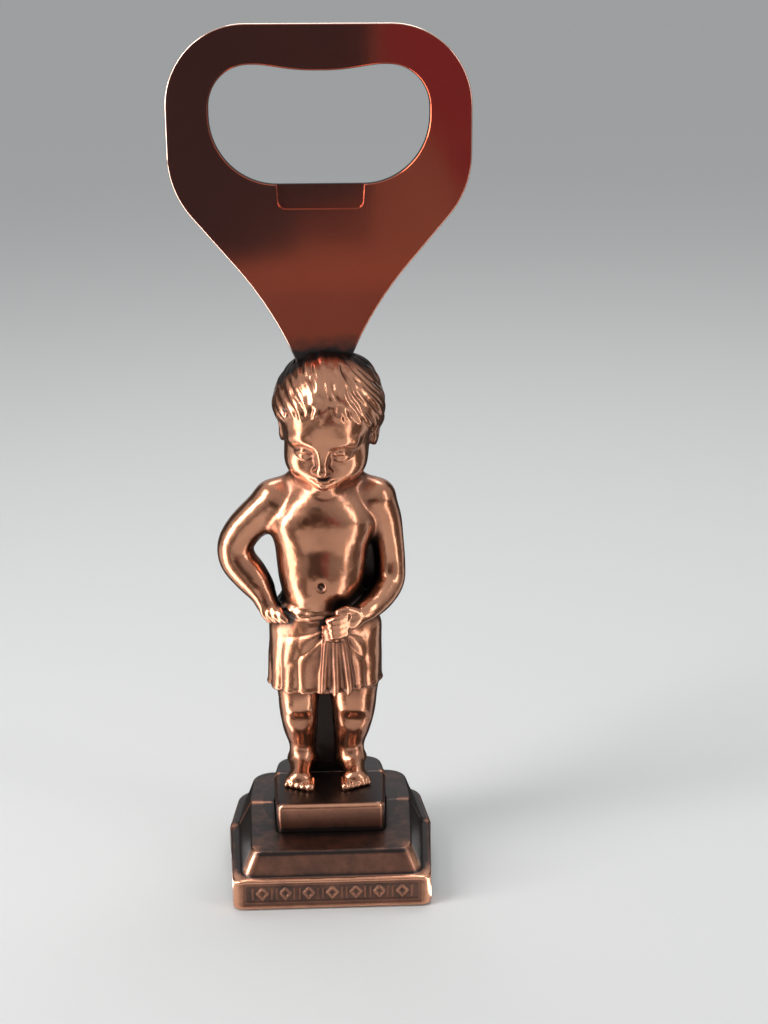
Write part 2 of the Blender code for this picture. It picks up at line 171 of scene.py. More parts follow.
def points_of(mesh):
    """A mesh's points, in millimetres about the parting plane."""
    points = np.empty(len(mesh.vertices) * 3)
    mesh.vertices.foreach_get("co", points)
    return points.reshape(-1, 3) / MM - (0.0, PARTING_Y, 0.0)


def bell(value, middle, width):
    """1 where a value is in the middle, fading to 0 over about the width on either side."""
    return np.exp(-np.square((value - middle) / width))


def unit(value):
    """The value, kept from 0 to 1."""
    return np.clip(value, 0, 1)


def store(mesh, name, values):
    """A number on each point of a mesh, for its material to read."""
    layer = mesh.attributes.new(name, "FLOAT", "POINT")
    layer.data.foreach_set("value", np.asarray(values, np.float32))


# ---- clay


Shape = namedtuple("Shape", "distance low high")


def along_way(x, y, z, start, way):
    """How far each spot lies from a start along a direction, times the direction's length."""
    return (x - start[0]) * way[0] + (y - start[1]) * way[1] + (z - start[2]) * way[2]


def ball(centre, radii, turn=None):
    """An ellipsoid. The columns of turn are its own axes."""
    centre = np.array(centre, np.float32)
    radii = np.broadcast_to(np.array(radii, np.float32), 3)
    turn = np.eye(3, dtype=np.float32) if turn is None else np.array(turn, np.float32)

    def distance(x, y, z):
        near = steep = 0.0
        for k in range(3):
            along = along_way(x, y, z, centre, turn[:, k])
            near = near + np.square(along / radii[k])
            steep = steep + np.square(along / radii[k] ** 2)
        near, steep = np.sqrt(near), np.sqrt(steep)
        span = np.where(steep > 1e-5, near / np.maximum(steep, 1e-5), radii.min())
        return (near - 1) * span

    reach = np.sqrt(np.square(turn * radii).sum(axis=1))
    return Shape(distance, centre - reach, centre + reach)


def rod(*joints):
    """A chain of straight round bars through joints (x, y, z, radius)."""
    joints = np.array(joints, np.float32)

    def distance(x, y, z):
        best = None
        for a, b in zip(joints, joints[1:]):
            step = b - a
            along = along_way(x, y, z, a, step) / max(float(step[:3] @ step[:3]), 1e-9)
            along = unit(along)
            gap = sum(np.square(spot - a[k] - along * step[k]) for k, spot in enumerate((x, y, z)))
            gap = np.sqrt(gap) - (a[3] + along * step[3])
            best = gap if best is None else np.minimum(best, gap)
        return best

    spots, radii = joints[:, :3], joints[:, 3:]
    return Shape(distance, (spots - radii).min(axis=0), (spots + radii).max(axis=0))


def curve(joints, parts=5):
    """Joints along a smooth curve through the given ones, by Catmull and Rom's rule."""
    joints = np.array(joints, float)
    ends = np.vstack([2 * joints[0] - joints[1], joints, 2 * joints[-1] - joints[-2]])
    made = []
    for p0, p1, p2, p3 in zip(ends, ends[1:], ends[2:], ends[3:]):
        for t in np.arange(parts) / parts:
            bend = 2 * p1 + (p2 - p0) * t + (2 * p0 - 5 * p1 + 4 * p2 - p3) * t**2
            made.append((bend + (3 * p1 - p0 - 3 * p2 + p3) * t**3) / 2)
    return [*made, joints[-1]]


def limb(*joints, parts=5):
    """A round bar along a smooth curve through joints (x, y, z, radius)."""
    return rod(*curve(joints, parts))


class Clay:
    """Distances to a growing solid, sampled on a grid. They are negative inside."""

    def __init__(self, low, high, step):
        self.low, self.step = np.array(low, np.float32), step
        self.size = np.ceil((np.array(high) - low) / step).astype(int) + 1
        self.field = np.full(self.size, FAR, np.float32)

    def window(self, shape, margin):
        """The part of the grid round a shape, and where its samples lie."""
        first = np.floor((shape.low - margin - self.low) / self.step).astype(int)
        last = np.ceil((shape.high + margin - self.low) / self.step).astype(int) + 1
        first, last = np.clip(first, 0, self.size), np.clip(last, 0, self.size)
        axes = [self.low[k] + self.step * np.arange(first[k], last[k], dtype=np.float32) for k in range(3)]
        return tuple(slice(a, b) for a, b in zip(first, last)), np.ix_(*axes)

    def add(self, shape, blend=0.5):
        """Melts a shape on, with a fillet about as wide as blend."""
        self.merge(shape, blend, max(blend, 2.0), 1)

    def cut(self, shape, blend=0.3):
        """Takes a shape out, with its edges rounded by about blend."""
        self.merge(shape, blend, blend, -1)

    def merge(self, shape, blend, margin, sign):
        """Joins a shape to the solid when sign is 1, or to what is outside it when sign is -1."""
        part, spots = self.window(shape, margin + 0.5)
        ours, theirs = sign * self.field[part], shape.distance(*spots)
        fillet = np.clip(1 - np.abs(ours - theirs) / blend, 0, None)
        self.field[part] = sign * (np.minimum(ours, theirs) - fillet * fillet * blend / 4)

    def soften(self, rounds):
        """Blurs the field a little, which rounds creases and the joints of limbs."""
        for _ in range(rounds):
            for axis in range(3):
                field = np.moveaxis(self.field, axis, 0)
                field[1:-1] = field[1:-1] * 0.5 + (field[:-2] + field[2:]) * 0.25

    def sample(self, points):
        """The field at any points, by straight-line interpolation."""
        field = self.field
        at = (points - self.low) / self.step
        cell = np.clip(np.floor(at).astype(int), 0, np.array(field.shape) - 2)
        share = unit(at - cell)
        total = 0.0
        for corner in np.ndindex(2, 2, 2):
            weight = np.prod(np.where(corner, share, 1 - share), axis=1)
            i, j, k = (cell + corner).T
            total = total + weight * field[i, j, k]
        return total

    def slope(self, points):
        """The field's direction of steepest rise, as unit vectors: the surface's normals."""
        rise = np.empty_like(points)
        for k in range(3):
            nudge = np.zeros(3)
            nudge[k] = self.step
            rise[:, k] = self.sample(points + nudge) - self.sample(points - nudge)
        return rise / np.maximum(np.linalg.norm(rise, axis=1, keepdims=True), 1e-9)

    def skin(self):
        """Points and quads where the field passes through zero, by surface nets."""
        inside = self.field < 0
        corners = list(np.ndindex(2, 2, 2))
        nx, ny, nz = (n - 1 for n in inside.shape)
        filled = sum(inside[i : i + nx, j : j + ny, k : k + nz].astype(np.int8) for i, j, k in corners)
        active = (filled > 0) & (filled < 8)
        number = np.full(active.shape, -1, np.int32)
        number[active] = np.arange(active.sum())
        cells = np.argwhere(active)
        values = np.stack([self.field[tuple((cells + c).T)] for c in corners], axis=1)
        total, crossings = np.zeros((len(cells), 3)), np.zeros(len(cells))
        for a, b in [(a, b) for a in range(8) for b in range(8) if a < b]:
            step = np.subtract(corners[b], corners[a])
            if np.abs(step).sum() != 1:
                continue
            crossed = (values[:, a] < 0) != (values[:, b] < 0)
            fall = np.where(crossed, values[:, a] - values[:, b], 1.0)
            share = np.where(crossed, values[:, a] / fall, 0.0)
            total += crossed[:, None] * (corners[a] + share[:, None] * step)
            crossings += crossed
        points = self.low + self.step * (cells + total / crossings[:, None])
        return points, self.skin_quads(inside, number)

    @staticmethod
    def skin_quads(inside, number):
        """One quad round each grid edge that the surface crosses, facing outwards."""
        quads = []
        for axis in range(3):
            u, v = (axis + 1) % 3, (axis + 2) % 3
            here = np.moveaxis(inside, (axis, u, v), (0, 1, 2))
            cell = np.moveaxis(number, (axis, u, v), (0, 1, 2))
            a, b = here[:-1, 1:-1, 1:-1], here[1:, 1:-1, 1:-1]
            for leaving, order in ((a & ~b, (0, 1, 2, 3)), (~a & b, (3, 2, 1, 0))):
                i, j, k = np.nonzero(leaving)
                ring = [cell[i, j, k], cell[i, j + 1, k], cell[i, j + 1, k + 1], cell[i, j, k + 1]]
                quads.append(np.stack([ring[n] for n in order], axis=1))
        return np.concatenate(quads)

    def relaxed(self, points, quads, rounds=3):
        """Evens the points out along the surface, and puts them back on it."""
        flat = quads.ravel()
        uses = np.bincount(flat, minlength=len(points))
        for _ in range(rounds):
            middles = np.repeat(points[quads].mean(axis=1), 4, axis=0)
            for k in range(3):
                moved = np.bincount(flat, middles[:, k], len(points)) / uses
                points[:, k] += 0.6 * (moved - points[:, k])
            off = self.sample(points)[:, None]
            points -= np.clip(off, -0.1, 0.1) * self.slope(points) * 0.8
        return points

    def hollowness(self, points, normals):
        """From 0 on open skin to 1 deep in a crease, from how soon the way out is closed."""
        closed = np.zeros(len(points))
        steps = (0.35, 0.7, 1.2, 2.0, 3.2)
        for step in steps:
            clear = self.sample(points + normals * step) / step
            closed += unit(1 - clear) / len(steps)
        return closed


# ---- figure


def head_place():
    """Where the head sits: tilted down, turned a little, and leaning a little."""
    tilt = Matrix.Rotation(math.radians(17), 4, "X")
    turn = Matrix.Rotation(math.radians(-7), 4, "Z")
    lean = Matrix.Rotation(math.radians(2), 4, "Y")
    return Matrix.Translation((0.55, -0.4, 72.7)) @ lean @ turn @ tilt @ Matrix.Scale(0.94, 4)


HEAD = head_place()
HEAD_TURN = np.array(HEAD.to_3x3().normalized())
HEAD_SCALE = HEAD.to_scale()[0]


def on_head(*spots):
    """Head points (x, y, z[, radius]) in the figure's frame."""
    placed = []
    for spot in spots:
        where = HEAD @ Vector(spot[:3])
        placed.append((*where, *[r * HEAD_SCALE for r in spot[3:]]))
    return placed


def head_ball(centre, radii):
    scaled = np.broadcast_to(np.array(radii, float), 3) * HEAD_SCALE
    return ball(on_head(centre)[0], scaled, HEAD_TURN)


def head_limb(*joints, parts=4):
    return limb(*on_head(*joints), parts=parts)


def side_limb(side, joints):
    """A bar on the head through joints given for the right side, or mirrored when side is -1."""
    return head_limb(*[(x * side, y, z, radius) for x, y, z, radius in joints])


def skull(clay):
    clay.add(head_ball((0, 1.0, 2.0), (7.6, 8.6, 7.8)))
    clay.add(head_ball((0, -2.6, 2.0), (6.4, 5.6, 5.2)), 2.0)
    clay.add(head_ball((0, -1.5, -3.4), (6.3, 5.7, 6.3)), 2.5)
    for side in (-1, 1):
        clay.add(head_ball((3.4 * side, -3.9, -4.5), (3.0, 3.2, 2.9)), 1.8)
    clay.add(head_ball((0, -5.5, -6.2), (2.7, 2.2, 2.3)), 1.6)
    clay.add(head_ball((0, -5.2, -8.4), (2.0, 1.9, 1.6)), 1.6)


def eyes(clay):
    for side in (-1, 1):
        clay.cut(head_ball((3.1 * side, -8.6, -1.7), (1.7, 1.0, 1.0)), 1.3)
        clay.add(head_ball((2.9 * side, -6.35, -1.6), (1.5, 1.4, 1.35)), 0.2)
        upper = [(1.5, -7.3, -1.75, 0.18), (2.2, -7.75, -1.0, 0.3), (3.2, -7.7, -0.85, 0.32)]
        upper += [(4.35, -6.9, -1.65, 0.2)]
        lower = [(1.5, -7.3, -1.75, 0.14), (2.4, -7.6, -2.35, 0.18), (3.3, -7.5, -2.4, 0.18)]
        lower += [(4.35, -6.9, -1.65, 0.14)]
        for lid in (upper, lower):
            clay.add(side_limb(side, lid), 0.3)
        brow = [(1.5, -7.4, 0.95, 0.3), (3.0, -7.3, 1.25, 0.4), (4.8, -6.5, 0.6, 0.3)]
        clay.add(side_limb(side, brow), 2.0)


def nose_and_mouth(clay):
    clay.add(head_limb((0, -7.2, -0.4, 0.7), (0, -7.9, -2.2, 0.7), (0, -8.5, -3.8, 0.8)), 1.2)
    clay.add(head_ball((0, -8.65, -4.1), (1.05, 0.9, 0.85)), 0.6)
    for side in (-1, 1):
        clay.add(head_ball((0.95 * side, -8.05, -4.35), (0.7, 0.8, 0.6)), 0.45)
    clay.cut(head_limb((0, -8.3, -5.2, 0.15), (0, -8.4, -5.7, 0.2)), 0.5)
    for side in (-1, 1):
        lip = [(0, -7.85, -6.25, 0.42), (0.7, -7.85, -6.1, 0.5), (1.8, -7.1, -6.3, 0.22)]
        clay.add(side_limb(side, lip), 0.45)
    clay.add(head_limb((-1.4, -7.15, -6.8, 0.3), (0, -7.65, -7.15, 0.6), (1.4, -7.15, -6.8, 0.3)), 0.45)
    seam = [(-2.05, -7.15, -6.2, 0.12), (-0.9, -8.1, -6.6, 0.12), (0, -8.35, -6.6, 0.12)]
    seam += [(-x, y, z, r) for x, y, z, r in reversed(seam[:-1])]
    clay.cut(head_limb(*seam), 0.3)


def ears(clay):
    for side in (-1, 1):
        clay.add(head_ball((7.2 * side, 0.7, -1.5), (1.0, 1.7, 2.4)), 0.5)
        rim = [(7.5, -0.6, -0.6, 0.35), (8.0, 0.3, 0.9, 0.4), (8.1, 1.9, 0.2, 0.42), (7.8, 1.8, -1.8, 0.4)]
        rim += [(7.4, 0.3, -3.5, 0.45)]
        clay.add(side_limb(side, rim), 0.3)
        clay.cut(head_ball((8.2 * side, 0.4, -1.2), (0.6, 0.75, 1.3)), 0.3)


SCALP = (np.array((0.0, 1.5, 2.3)), np.array((7.9, 8.8, 7.9)))
WHORL = Vector((0.10, 0.42, 0.90)).normalized()
WHORL_SIDE = WHORL.cross(Vector((1, 0, 0))).normalized()
WHORL_FRONT = WHORL_SIDE.cross(WHORL).normalized()
SWIRL = 0.9


def scalp_spot(polar, around, lift):
    """A head point over the scalp, by its angles from the whorl where the hair parts."""
    way = WHORL * math.cos(polar) + math.sin(polar) * (
        WHORL_FRONT * math.cos(around) + WHORL_SIDE * math.sin(around)
    )
    way = np.array(way)
    reach = 1 / math.sqrt(((way / (SCALP[1] + lift)) ** 2).sum())
    return SCALP[0] + way * reach


# How low the hair reaches on the head, front to back
HAIRLINE_DEPTHS = (-9, -6.5, -4, -1.5, 2.5, 6, 10)
HAIRLINE_HEIGHTS = (4.3, 3.7, 2.2, -0.4, -2.6, -5.4, -6.8)


def hairline(y):
    return float(np.interp(y, HAIRLINE_DEPTHS, HAIRLINE_HEIGHTS))


def lock(clay, around, start, length, wave, width):
    """One lock of hair, from its root out to its tip or the hairline."""
    joints = []
    count = 8
    for k in range(count):
        share = k / (count - 1)
        polar = start + length * share
        angle = around + SWIRL * (polar - start) + wave * math.sin(5 * share + around * 3)
        spot = scalp_spot(polar, angle, 0.25 + 0.35 * math.sin(math.pi * min(share * 1.15, 1)))
        if spot[2] < hairline(spot[1]) - 0.3:
            break
        thick = width * (0.55 + 0.45 * math.sin(math.pi * (0.2 + 0.6 * share)))
        joints.append((*spot, thick))
    if len(joints) < 3:
        return
    tip = joints[-1]
    joints[-1] = (*tip[:3], tip[3] * 0.45)
    clay.add(head_limb(*joints, parts=2), 0.14)


def hair(clay):
    cap = head_ball(SCALP[0], SCALP[1] - 0.15)
    turn = np.array(HEAD.inverted())
    heights = np.linspace(-12, 12, 60)
    lows = np.array([hairline(y) for y in heights], np.float32)

    def distance(x, y, z):
        local = [turn[k, 0] * x + turn[k, 1] * y + turn[k, 2] * z + turn[k, 3] for k in (1, 2)]
        below = (np.interp(local[0], heights, lows) - local[1]).astype(np.float32)
        return np.maximum(cap.distance(x, y, z), below * 0.8)

    clay.add(Shape(distance, cap.low, cap.high), 0.5)
    rng = np.random.default_rng(12)
    rows = ((0.10, 0.95, 20, 0.78), (0.50, 0.85, 30, 0.68), (0.90, 0.8, 38, 0.60), (1.30, 0.75, 40, 0.56))
    for start, length, count, width in rows:
        for k in range(count):
            around = 2 * math.pi * (k + rng.uniform(-0.25, 0.25)) / count + start * 3
            reach = length * rng.uniform(0.8, 1.2)
            wave = 0.12 * rng.uniform(0.4, 1.6)
            lock(clay, around, start, reach, wave, width * rng.uniform(0.75, 1.2))
    forelocks(clay, rng)


def brow_depth(x, z):
    """Where the brow's surface lies, front to back, at a width and a height on the head."""
    spread = 1 - (x / 8.1) ** 2 - ((z - 2.3) / 8.1) ** 2
    return 1.5 - 9.0 * math.sqrt(max(spread, 0.05))


def curl(x, z, reach, turn):
    """Joints of a short, full lock that bends round like a comma and lies on the brow."""
    joints = []
    for share in np.linspace(0, 1, 9):
        angle = 2.2 - turn * share
        across = x + reach * math.cos(angle)
        up = z + reach * (1 - 0.3 * share) * math.sin(angle)
        joints.append((across, brow_depth(across, up) - 0.15, up, 0.85 - 0.5 * share))
    return joints


def forelocks(clay, rng):
    """Longer locks that sweep over the brow from the right, and curl up at their tips."""
    for k in range(13):
        side = -5.6 + 0.85 * k + rng.uniform(-0.2, 0.2)
        drop = rng.uniform(-0.5, 0.4)
        joints = []
        for share in np.linspace(0, 1, 7):
            x = side + 1.6 - 2.9 * share**1.3 + 0.35 * math.sin(4 * share + k)
            z = 7.6 - 3.9 * share - 0.06 * side * side * share + drop * share
            lift = 0.5 * (share - 0.8) * 5 if share > 0.85 else 0
            joints.append((x, brow_depth(x, z) - 0.1, z + lift, 0.62 - 0.34 * share**2))
        clay.add(head_limb(*joints, parts=2), 0.14)
    clay.add(head_limb(*curl(-0.6, 5.6, 1.5, 2.7)), 0.2)
    clay.add(head_limb(*curl(2.3, 5.4, 1.2, 2.5)), 0.2)


def neck_and_torso(clay):
    clay.add(limb((0.4, 0.9, 68.5, 3.7), (0.1, 0.6, 64.0, 3.8), (-0.4, 0.3, 60.5, 4.7)), 1.0)
    clay.add(ball((-0.6, -0.1, 57.4), (7.5, 4.9, 6.1)), 2.5)
    clay.add(ball((-0.7, 0.0, 52.8), (6.7, 4.8, 6.0)), 3.0)
    clay.add(ball((-0.8, -1.5, 48.1), (5.9, 5.1, 5.4)), 4.0)
    clay.add(ball((-0.6, 0.4, 42.3), (7.3, 5.7, 5.2)), 2.5)
    for side in (-1, 1):
        clay.add(ball((-0.6 + 3.0 * side, -1.75, 57.3), (3.5, 3.05, 2.9)), 3.2)
        shoulder = [(1.6 * side, 1.2, 65.4, 2.2), (4.6 * side, 1.1, 62.9, 2.0), (8.0 * side, 0.8, 61.2, 2.1)]
        clay.add(limb(*shoulder), 2.0)
        clay.add(ball((-0.6 + 3.5 * side, 2.7, 58.2), (2.8, 1.7, 3.2)), 3.2)
    clay.cut(limb((-0.3, 6.1, 61.0, 0.4), (-0.6, 5.8, 52.0, 0.4), (-0.6, 6.3, 46.0, 0.4)), 2.0)
    clay.cut(ball((-0.85, -6.3, 48.6), (0.5, 0.6, 0.55)), 0.7)


# The two arms from the shoulder to the wrist: one bent out to the hip, one across the front
ARM_ON_HIP = [(-8.1, 0.3, 60.3, 3.0), (-10.1, 0.6, 58.3, 2.95), (-12.5, 0.9, 55.8, 2.85)]
ARM_ON_HIP += [(-13.9, 1.1, 53.2, 2.8), (-13.6, 0.9, 50.8, 2.85), (-11.9, 0.1, 48.7, 2.75)]
ARM_ON_HIP += [(-10.5, -0.9, 47.0, 2.3), (-9.8, -1.4, 45.8, 1.75)]
ARM_IN_FRONT = [(7.9, 0.4, 60.3, 2.85), (9.1, 0.8, 57.2, 2.55), (9.7, 1.0, 53.6, 2.3)]
ARM_IN_FRONT += [(10.0, 0.9, 50.0, 2.25), (9.8, 0.1, 47.2, 2.25), (8.4, -2.2, 45.5, 2.05)]
ARM_IN_FRONT += [(6.6, -4.6, 44.5, 1.75), (4.9, -6.0, 43.8, 1.45)]


def hand_on_hip(clay):
    """The back of the hand faces forwards, and the fingers curl round the hip."""
    clay.add(ball((-9.5, -1.9, 45.0), (1.55, 1.45, 1.75)), 0.9)
    clay.add(ball((-8.9, -2.6, 44.2), (1.6, 1.2, 1.3)), 0.7)
    for k in range(4):
        root = (-9.9 + 0.85 * k, -2.5 - 0.42 * k, 44.5 - 0.12 * k, 0.62)
        knuckle = (-9.7 + 0.9 * k, -3.2 - 0.5 * k, 43.6 - 0.05 * k, 0.64)
        tip = (-8.9 + 0.85 * k, -3.3 - 0.6 * k, 42.3 + 0.2 * k, 0.52)
        clay.add(limb(root, knuckle, tip), 0.22)
    clay.add(limb((-9.9, -0.9, 45.2, 0.85), (-9.5, 0.7, 44.5, 0.75), (-8.7, 1.9, 44.1, 0.62)), 0.4)


def hand_in_front(clay):
    clay.add(ball((3.4, -6.9, 43.3), (1.8, 1.25, 1.45)), 0.8)
    for k in range(4):
        z = 44.3 - 0.86 * k
        root, bend = (2.8, -7.8, z, 0.64), (1.2, -8.5, z - 0.15, 0.62)
        clay.add(limb(root, bend, (0.1 + 0.15 * k, -8.2, z - 0.5, 0.5)), 0.12)
    clay.add(limb((4.3, -6.6, 44.6, 0.85), (2.9, -7.3, 45.2, 0.7), (1.6, -7.7, 45.0, 0.55)), 0.2)


def web_shapes():
    """The castings' thin metal in the gap under the right-hand arm and between the legs."""
    return [ball((7.4, 1.9, 51.5), (3.2, 0.9, 8.5)), ball((-0.2, 1.9, 24.0), (4.6, 0.9, 14.5))]


def leg(clay, side):
    """A leg from the hip to the ankle, with its kneecap and calf. The two stand differently."""
    if side < 0:
        joints = [(-5.2, 0.0, 40.0, 3.9), (-5.15, -0.2, 34.0, 3.65), (-4.7, -0.6, 29.5, 3.3)]
        joints += [(-4.75, -0.5, 26.4, 3.05), (-4.6, 0.3, 23.2, 2.7), (-4.4, 0.8, 20.2, 2.1)]
        joints += [(-4.3, 0.9, 17.6, 2.0)]
    else:
        joints = [(4.6, 0.0, 40.0, 3.9), (4.4, -0.2, 34.0, 3.9), (3.95, -0.6, 29.5, 3.75)]
        joints += [(4.0, -0.5, 26.4, 3.35), (3.75, 0.3, 23.4, 2.95), (3.4, 0.8, 20.4, 2.35)]
        joints += [(3.3, 0.9, 17.6, 2.15)]
    clay.add(limb(*joints, parts=9), 1.2)
    x = -4.75 if side < 0 else 4.0
    clay.add(ball((x, -2.1, 28.0), (2.0, 1.45, 2.1)), 1.4)
    clay.cut(ball((x, -4.3, 24.9), (2.6, 1.0, 1.2)), 1.6)
    clay.add(ball((x + 0.3 * side, 2.0, 23.6), (2.1, 1.7, 3.2)), 1.5)


def foot(clay, side):
    """A bare foot, turned out a little, with its five toes."""
    x = -4.35 if side < 0 else 3.6
    turned = math.radians(6) * side

    def spot(across, ahead, z, radius):
        right = across * math.cos(turned) + ahead * math.sin(turned)
        front = ahead * math.cos(turned) - across * math.sin(turned)
        return (x + right, 0.9 - front, z, radius)

    clay.add(rod(spot(0, -1.3, 15.7, 1.7), spot(0, 1.2, 16.9, 1.95), spot(0, 4.3, 15.6, 1.45)), 1.2)
    clay.add(rod(spot(-0.85, 4.3, 15.3, 1.2), spot(0.85, 4.3, 15.2, 1.15)), 0.9)
    for way in (-1, 1):
        clay.add(ball(spot(1.6 * way, 0.2, 17.1, 0)[:3], 0.6), 1.0)
    for k in range(5):
        across = (-1.75 + 0.86 * k + (0.12 if k else 0)) * side
        thick = 0.82 if k == 0 else 0.62 - 0.02 * k
        ahead = 6.1 - 0.28 * max(k - 1, 0)
        clay.add(rod(spot(across, 4.6, 15.3, thick), spot(across * 1.05, ahead, 14.85, thick * 0.95)), 0.14)


WRAP_TOP, WRAP_HEM = 44.6, 31.0
WRAP_KNOT = (1.3, -6.8, 42.3)
WRAP_MIDDLE = (-0.5, 0.2)


def wrap_radii(z):
    """Half the cloth's width and half its depth at a height."""
    levels = (WRAP_HEM - 1, 36.0, 40.0, 43.0, WRAP_TOP + 1)
    wide = np.interp(z, levels, (8.9, 8.7, 8.0, 7.1, 5.9))
    return wide, np.interp(z, levels, (6.6, 6.4, 6.1, 5.7, 5.0))


def wrap_relief(around, z):
    """How far the cloth stands out, at an angle round from the front and a height.

    Folds hang down all round, and at the front others run out from the knot and sag."""
    drop = unit((WRAP_TOP - z) / (WRAP_TOP - WRAP_HEM))
    phase = 8 * around + 0.7 * np.sin(2 * around + 0.7) + 0.5 * np.sin(3 * around - 1)
    phase = phase + 0.5 * drop * np.sin(around)
    hanging = (0.08 + 0.55 * drop) * (np.sqrt(np.abs(np.cos(phase)) + 0.03) - 0.75)
    along = 7.7 * around - WRAP_KNOT[0]
    rise = z - WRAP_KNOT[2]
    reach = unit(np.abs(along) / 12)
    rise = rise + 3.2 * reach * (1 - reach) + 0.03 * np.abs(along)
    far = np.hypot(along, rise)
    angle = np.arctan2(rise, np.abs(along) + 0.3)
    ribs = np.sqrt(np.abs(np.cos(6.2 * angle + 0.4 * np.sign(along))) + 0.03) - 0.7
    pulled = 0.62 * unit(far / 3.0) * ribs
    share = bell(far, 0, 8.5) * unit(2.2 - 1.5 * np.abs(around))
    return hanging * (1 - share) + pulled * share


def wrap(clay):
    """A cloth about the hips, rolled at the waist and gathered in a knot at the front."""

    def skirt(x, y, z):
        wide, deep = (r.astype(np.float32) for r in wrap_radii(z))
        x, y = x - WRAP_MIDDLE[0], y - WRAP_MIDDLE[1]
        across = np.sqrt(np.square(x / wide) + np.square(y / deep))
        steep = np.sqrt(np.square(x / wide**2) + np.square(y / deep**2))
        shell = across * (across - 1) / np.maximum(steep, 1e-6)
        around = np.arctan2(x / wide, -y / deep)
        relief = wrap_relief(around, z)
        hem = WRAP_HEM + 0.3 * np.sin(2 * around + 0.5) - 0.5 * relief
        seam = 0.16 * unit(1 - np.square((z - hem - 0.45) / 0.42))
        shell = shell - relief - seam
        under = np.square(x / 8.0) + np.square(y / 5.7) + np.square((z - WRAP_HEM + 1) / 3.0)
        under = 0.7 * (np.sqrt(under) - 1)
        outside = np.maximum(np.maximum(shell * 0.8, hem - z), z - WRAP_TOP)
        return np.maximum(outside, -3.0 * under).astype(np.float32)

    clay.add(Shape(skirt, np.array((-10.8, -8.2, WRAP_HEM - 1)), np.array((9.8, 8.4, WRAP_TOP))), 0.5)
    waist = []
    for k in range(97):
        around = 2 * math.pi * k / 96
        z = 44.3 + 0.7 * math.sin(around) + 0.12 * math.sin(7 * around)
        wide, deep = wrap_radii(z)
        radius = 0.78 + 0.07 * math.sin(23 * around)
        x = WRAP_MIDDLE[0] + wide * math.cos(around)
        waist.append((x, WRAP_MIDDLE[1] + deep * math.sin(around), z, radius))
    clay.add(rod(*waist), 0.35)


def knot_and_tail(clay):
    """The knot, and the cloth's end that falls from it in folds with a zigzag edge."""
    knot_x, knot_y, knot_z = WRAP_KNOT

    def tail(x, y, z):
        fall = unit((knot_z - z) / 11.5)
        half = 0.9 + 1.9 * np.sqrt(fall)
        middle = knot_x - 0.3 + 0.5 * fall
        across = (x - middle) / half
        front = knot_y - 0.75 + 0.45 * fall - 0.42 * (0.35 + 0.65 * fall) * np.cos(8.2 * across + 0.8 * fall)
        teeth = np.abs((across * 1.3 + 0.8) % 1.0 - 0.5) * 2
        low = 30.6 + 1.5 * teeth + 0.5 * np.abs(across)
        sheet = np.maximum((front - y) * 0.6, y + 5.4)
        edges = np.maximum(np.abs(x - middle) - half, low - z)
        return np.maximum(np.maximum(sheet, edges), z - knot_z)

    clay.add(Shape(tail, np.array((-2.4, -9.2, 30.0)), np.array((5.4, -5.4, knot_z))), 0.3)
    clay.add(ball((knot_x - 0.4, knot_y - 0.3, knot_z - 0.5), (1.8, 1.1, 1.3)), 0.5)
    for k in range(3):
        z = knot_z - 0.1 - 0.75 * k
        left = (knot_x - 2.0, knot_y + 0.3, z + 0.1, 0.35)
        right = (knot_x + 1.3, knot_y + 0.1, z - 0.1, 0.35)
        clay.add(limb(left, (knot_x - 0.4, knot_y - 1.15, z, 0.45), right), 0.25)


def tang_slot(clay):
    """The pocket that the plate's tang goes down into, and the cross pin's hole."""
    half = PLATE_THICK / 2 + 0.15

    def distance(x, y, z):
        wide = np.interp(z, (TANG_END, 82.4, 86.0), (3.5, 4.3, 5.9)).astype(np.float32)
        sides = np.maximum(np.abs(x) - wide, np.abs(y) - half)
        return np.maximum(sides, TANG_END - 0.2 - z)

    clay.cut(Shape(distance, np.array((-6.2, -half, TANG_END - 0.2)), np.array((6.2, half, 90.0))), 0.15)
    clay.cut(rod((0, 5.0, PIN_HEIGHT, 1.15), (0, 14.0, PIN_HEIGHT, 1.15)), 0.2)


def thinned(mesh, faces):
    """The mesh with fewer triangles, which stay small only where the surface bends."""
    obj = in_scene("thinning", mesh)
    modifier = obj.modifiers.new("fewer", "DECIMATE")
    modifier.ratio = min(1.0, faces / (2 * len(mesh.polygons)))
    made = applied(obj)
    bpy.data.objects.remove(obj)
    bpy.data.meshes.remove(mesh)
    made.shade_smooth()
    return made


def sculpted_figure():
    """The casting's upper part: large forms first, softened together, then the finer ones."""
    clay = Clay(CLAY_LOW, CLAY_HIGH, CLAY_STEP)
    neck_and_torso(clay)
    for side in (-1, 1):
        leg(clay, side)
    for joints in (ARM_ON_HIP, ARM_IN_FRONT):
        clay.add(limb(*joints, parts=9), 1.6)
    skull(clay)
    clay.soften(3)
    for side in (-1, 1):
        foot(clay, side)
    webs = web_shapes()
    for web in webs:
        clay.add(web, 0.6)
    wrap(clay)
    knot_and_tail(clay)
    hand_on_hip(clay)
    hand_in_front(clay)
    eyes(clay)
    nose_and_mouth(clay)
    ears(clay)
    hair(clay)
    clay.soften(1)
    tang_slot(clay)
    points, quads = clay.skin()
    points = clay.relaxed(points, quads)
    mesh = thinned(mesh_from("figure", points, quads), KEPT_FACES)
    points = points_of(mesh)
    normals = clay.slope(points)
    store(mesh, "hollow", figure_patina_and_shade(clay, webs, points, normals))
    mesh.normals_split_custom_set_from_vertices(normals)
    mesh.name = "cast_figure"
    return mesh


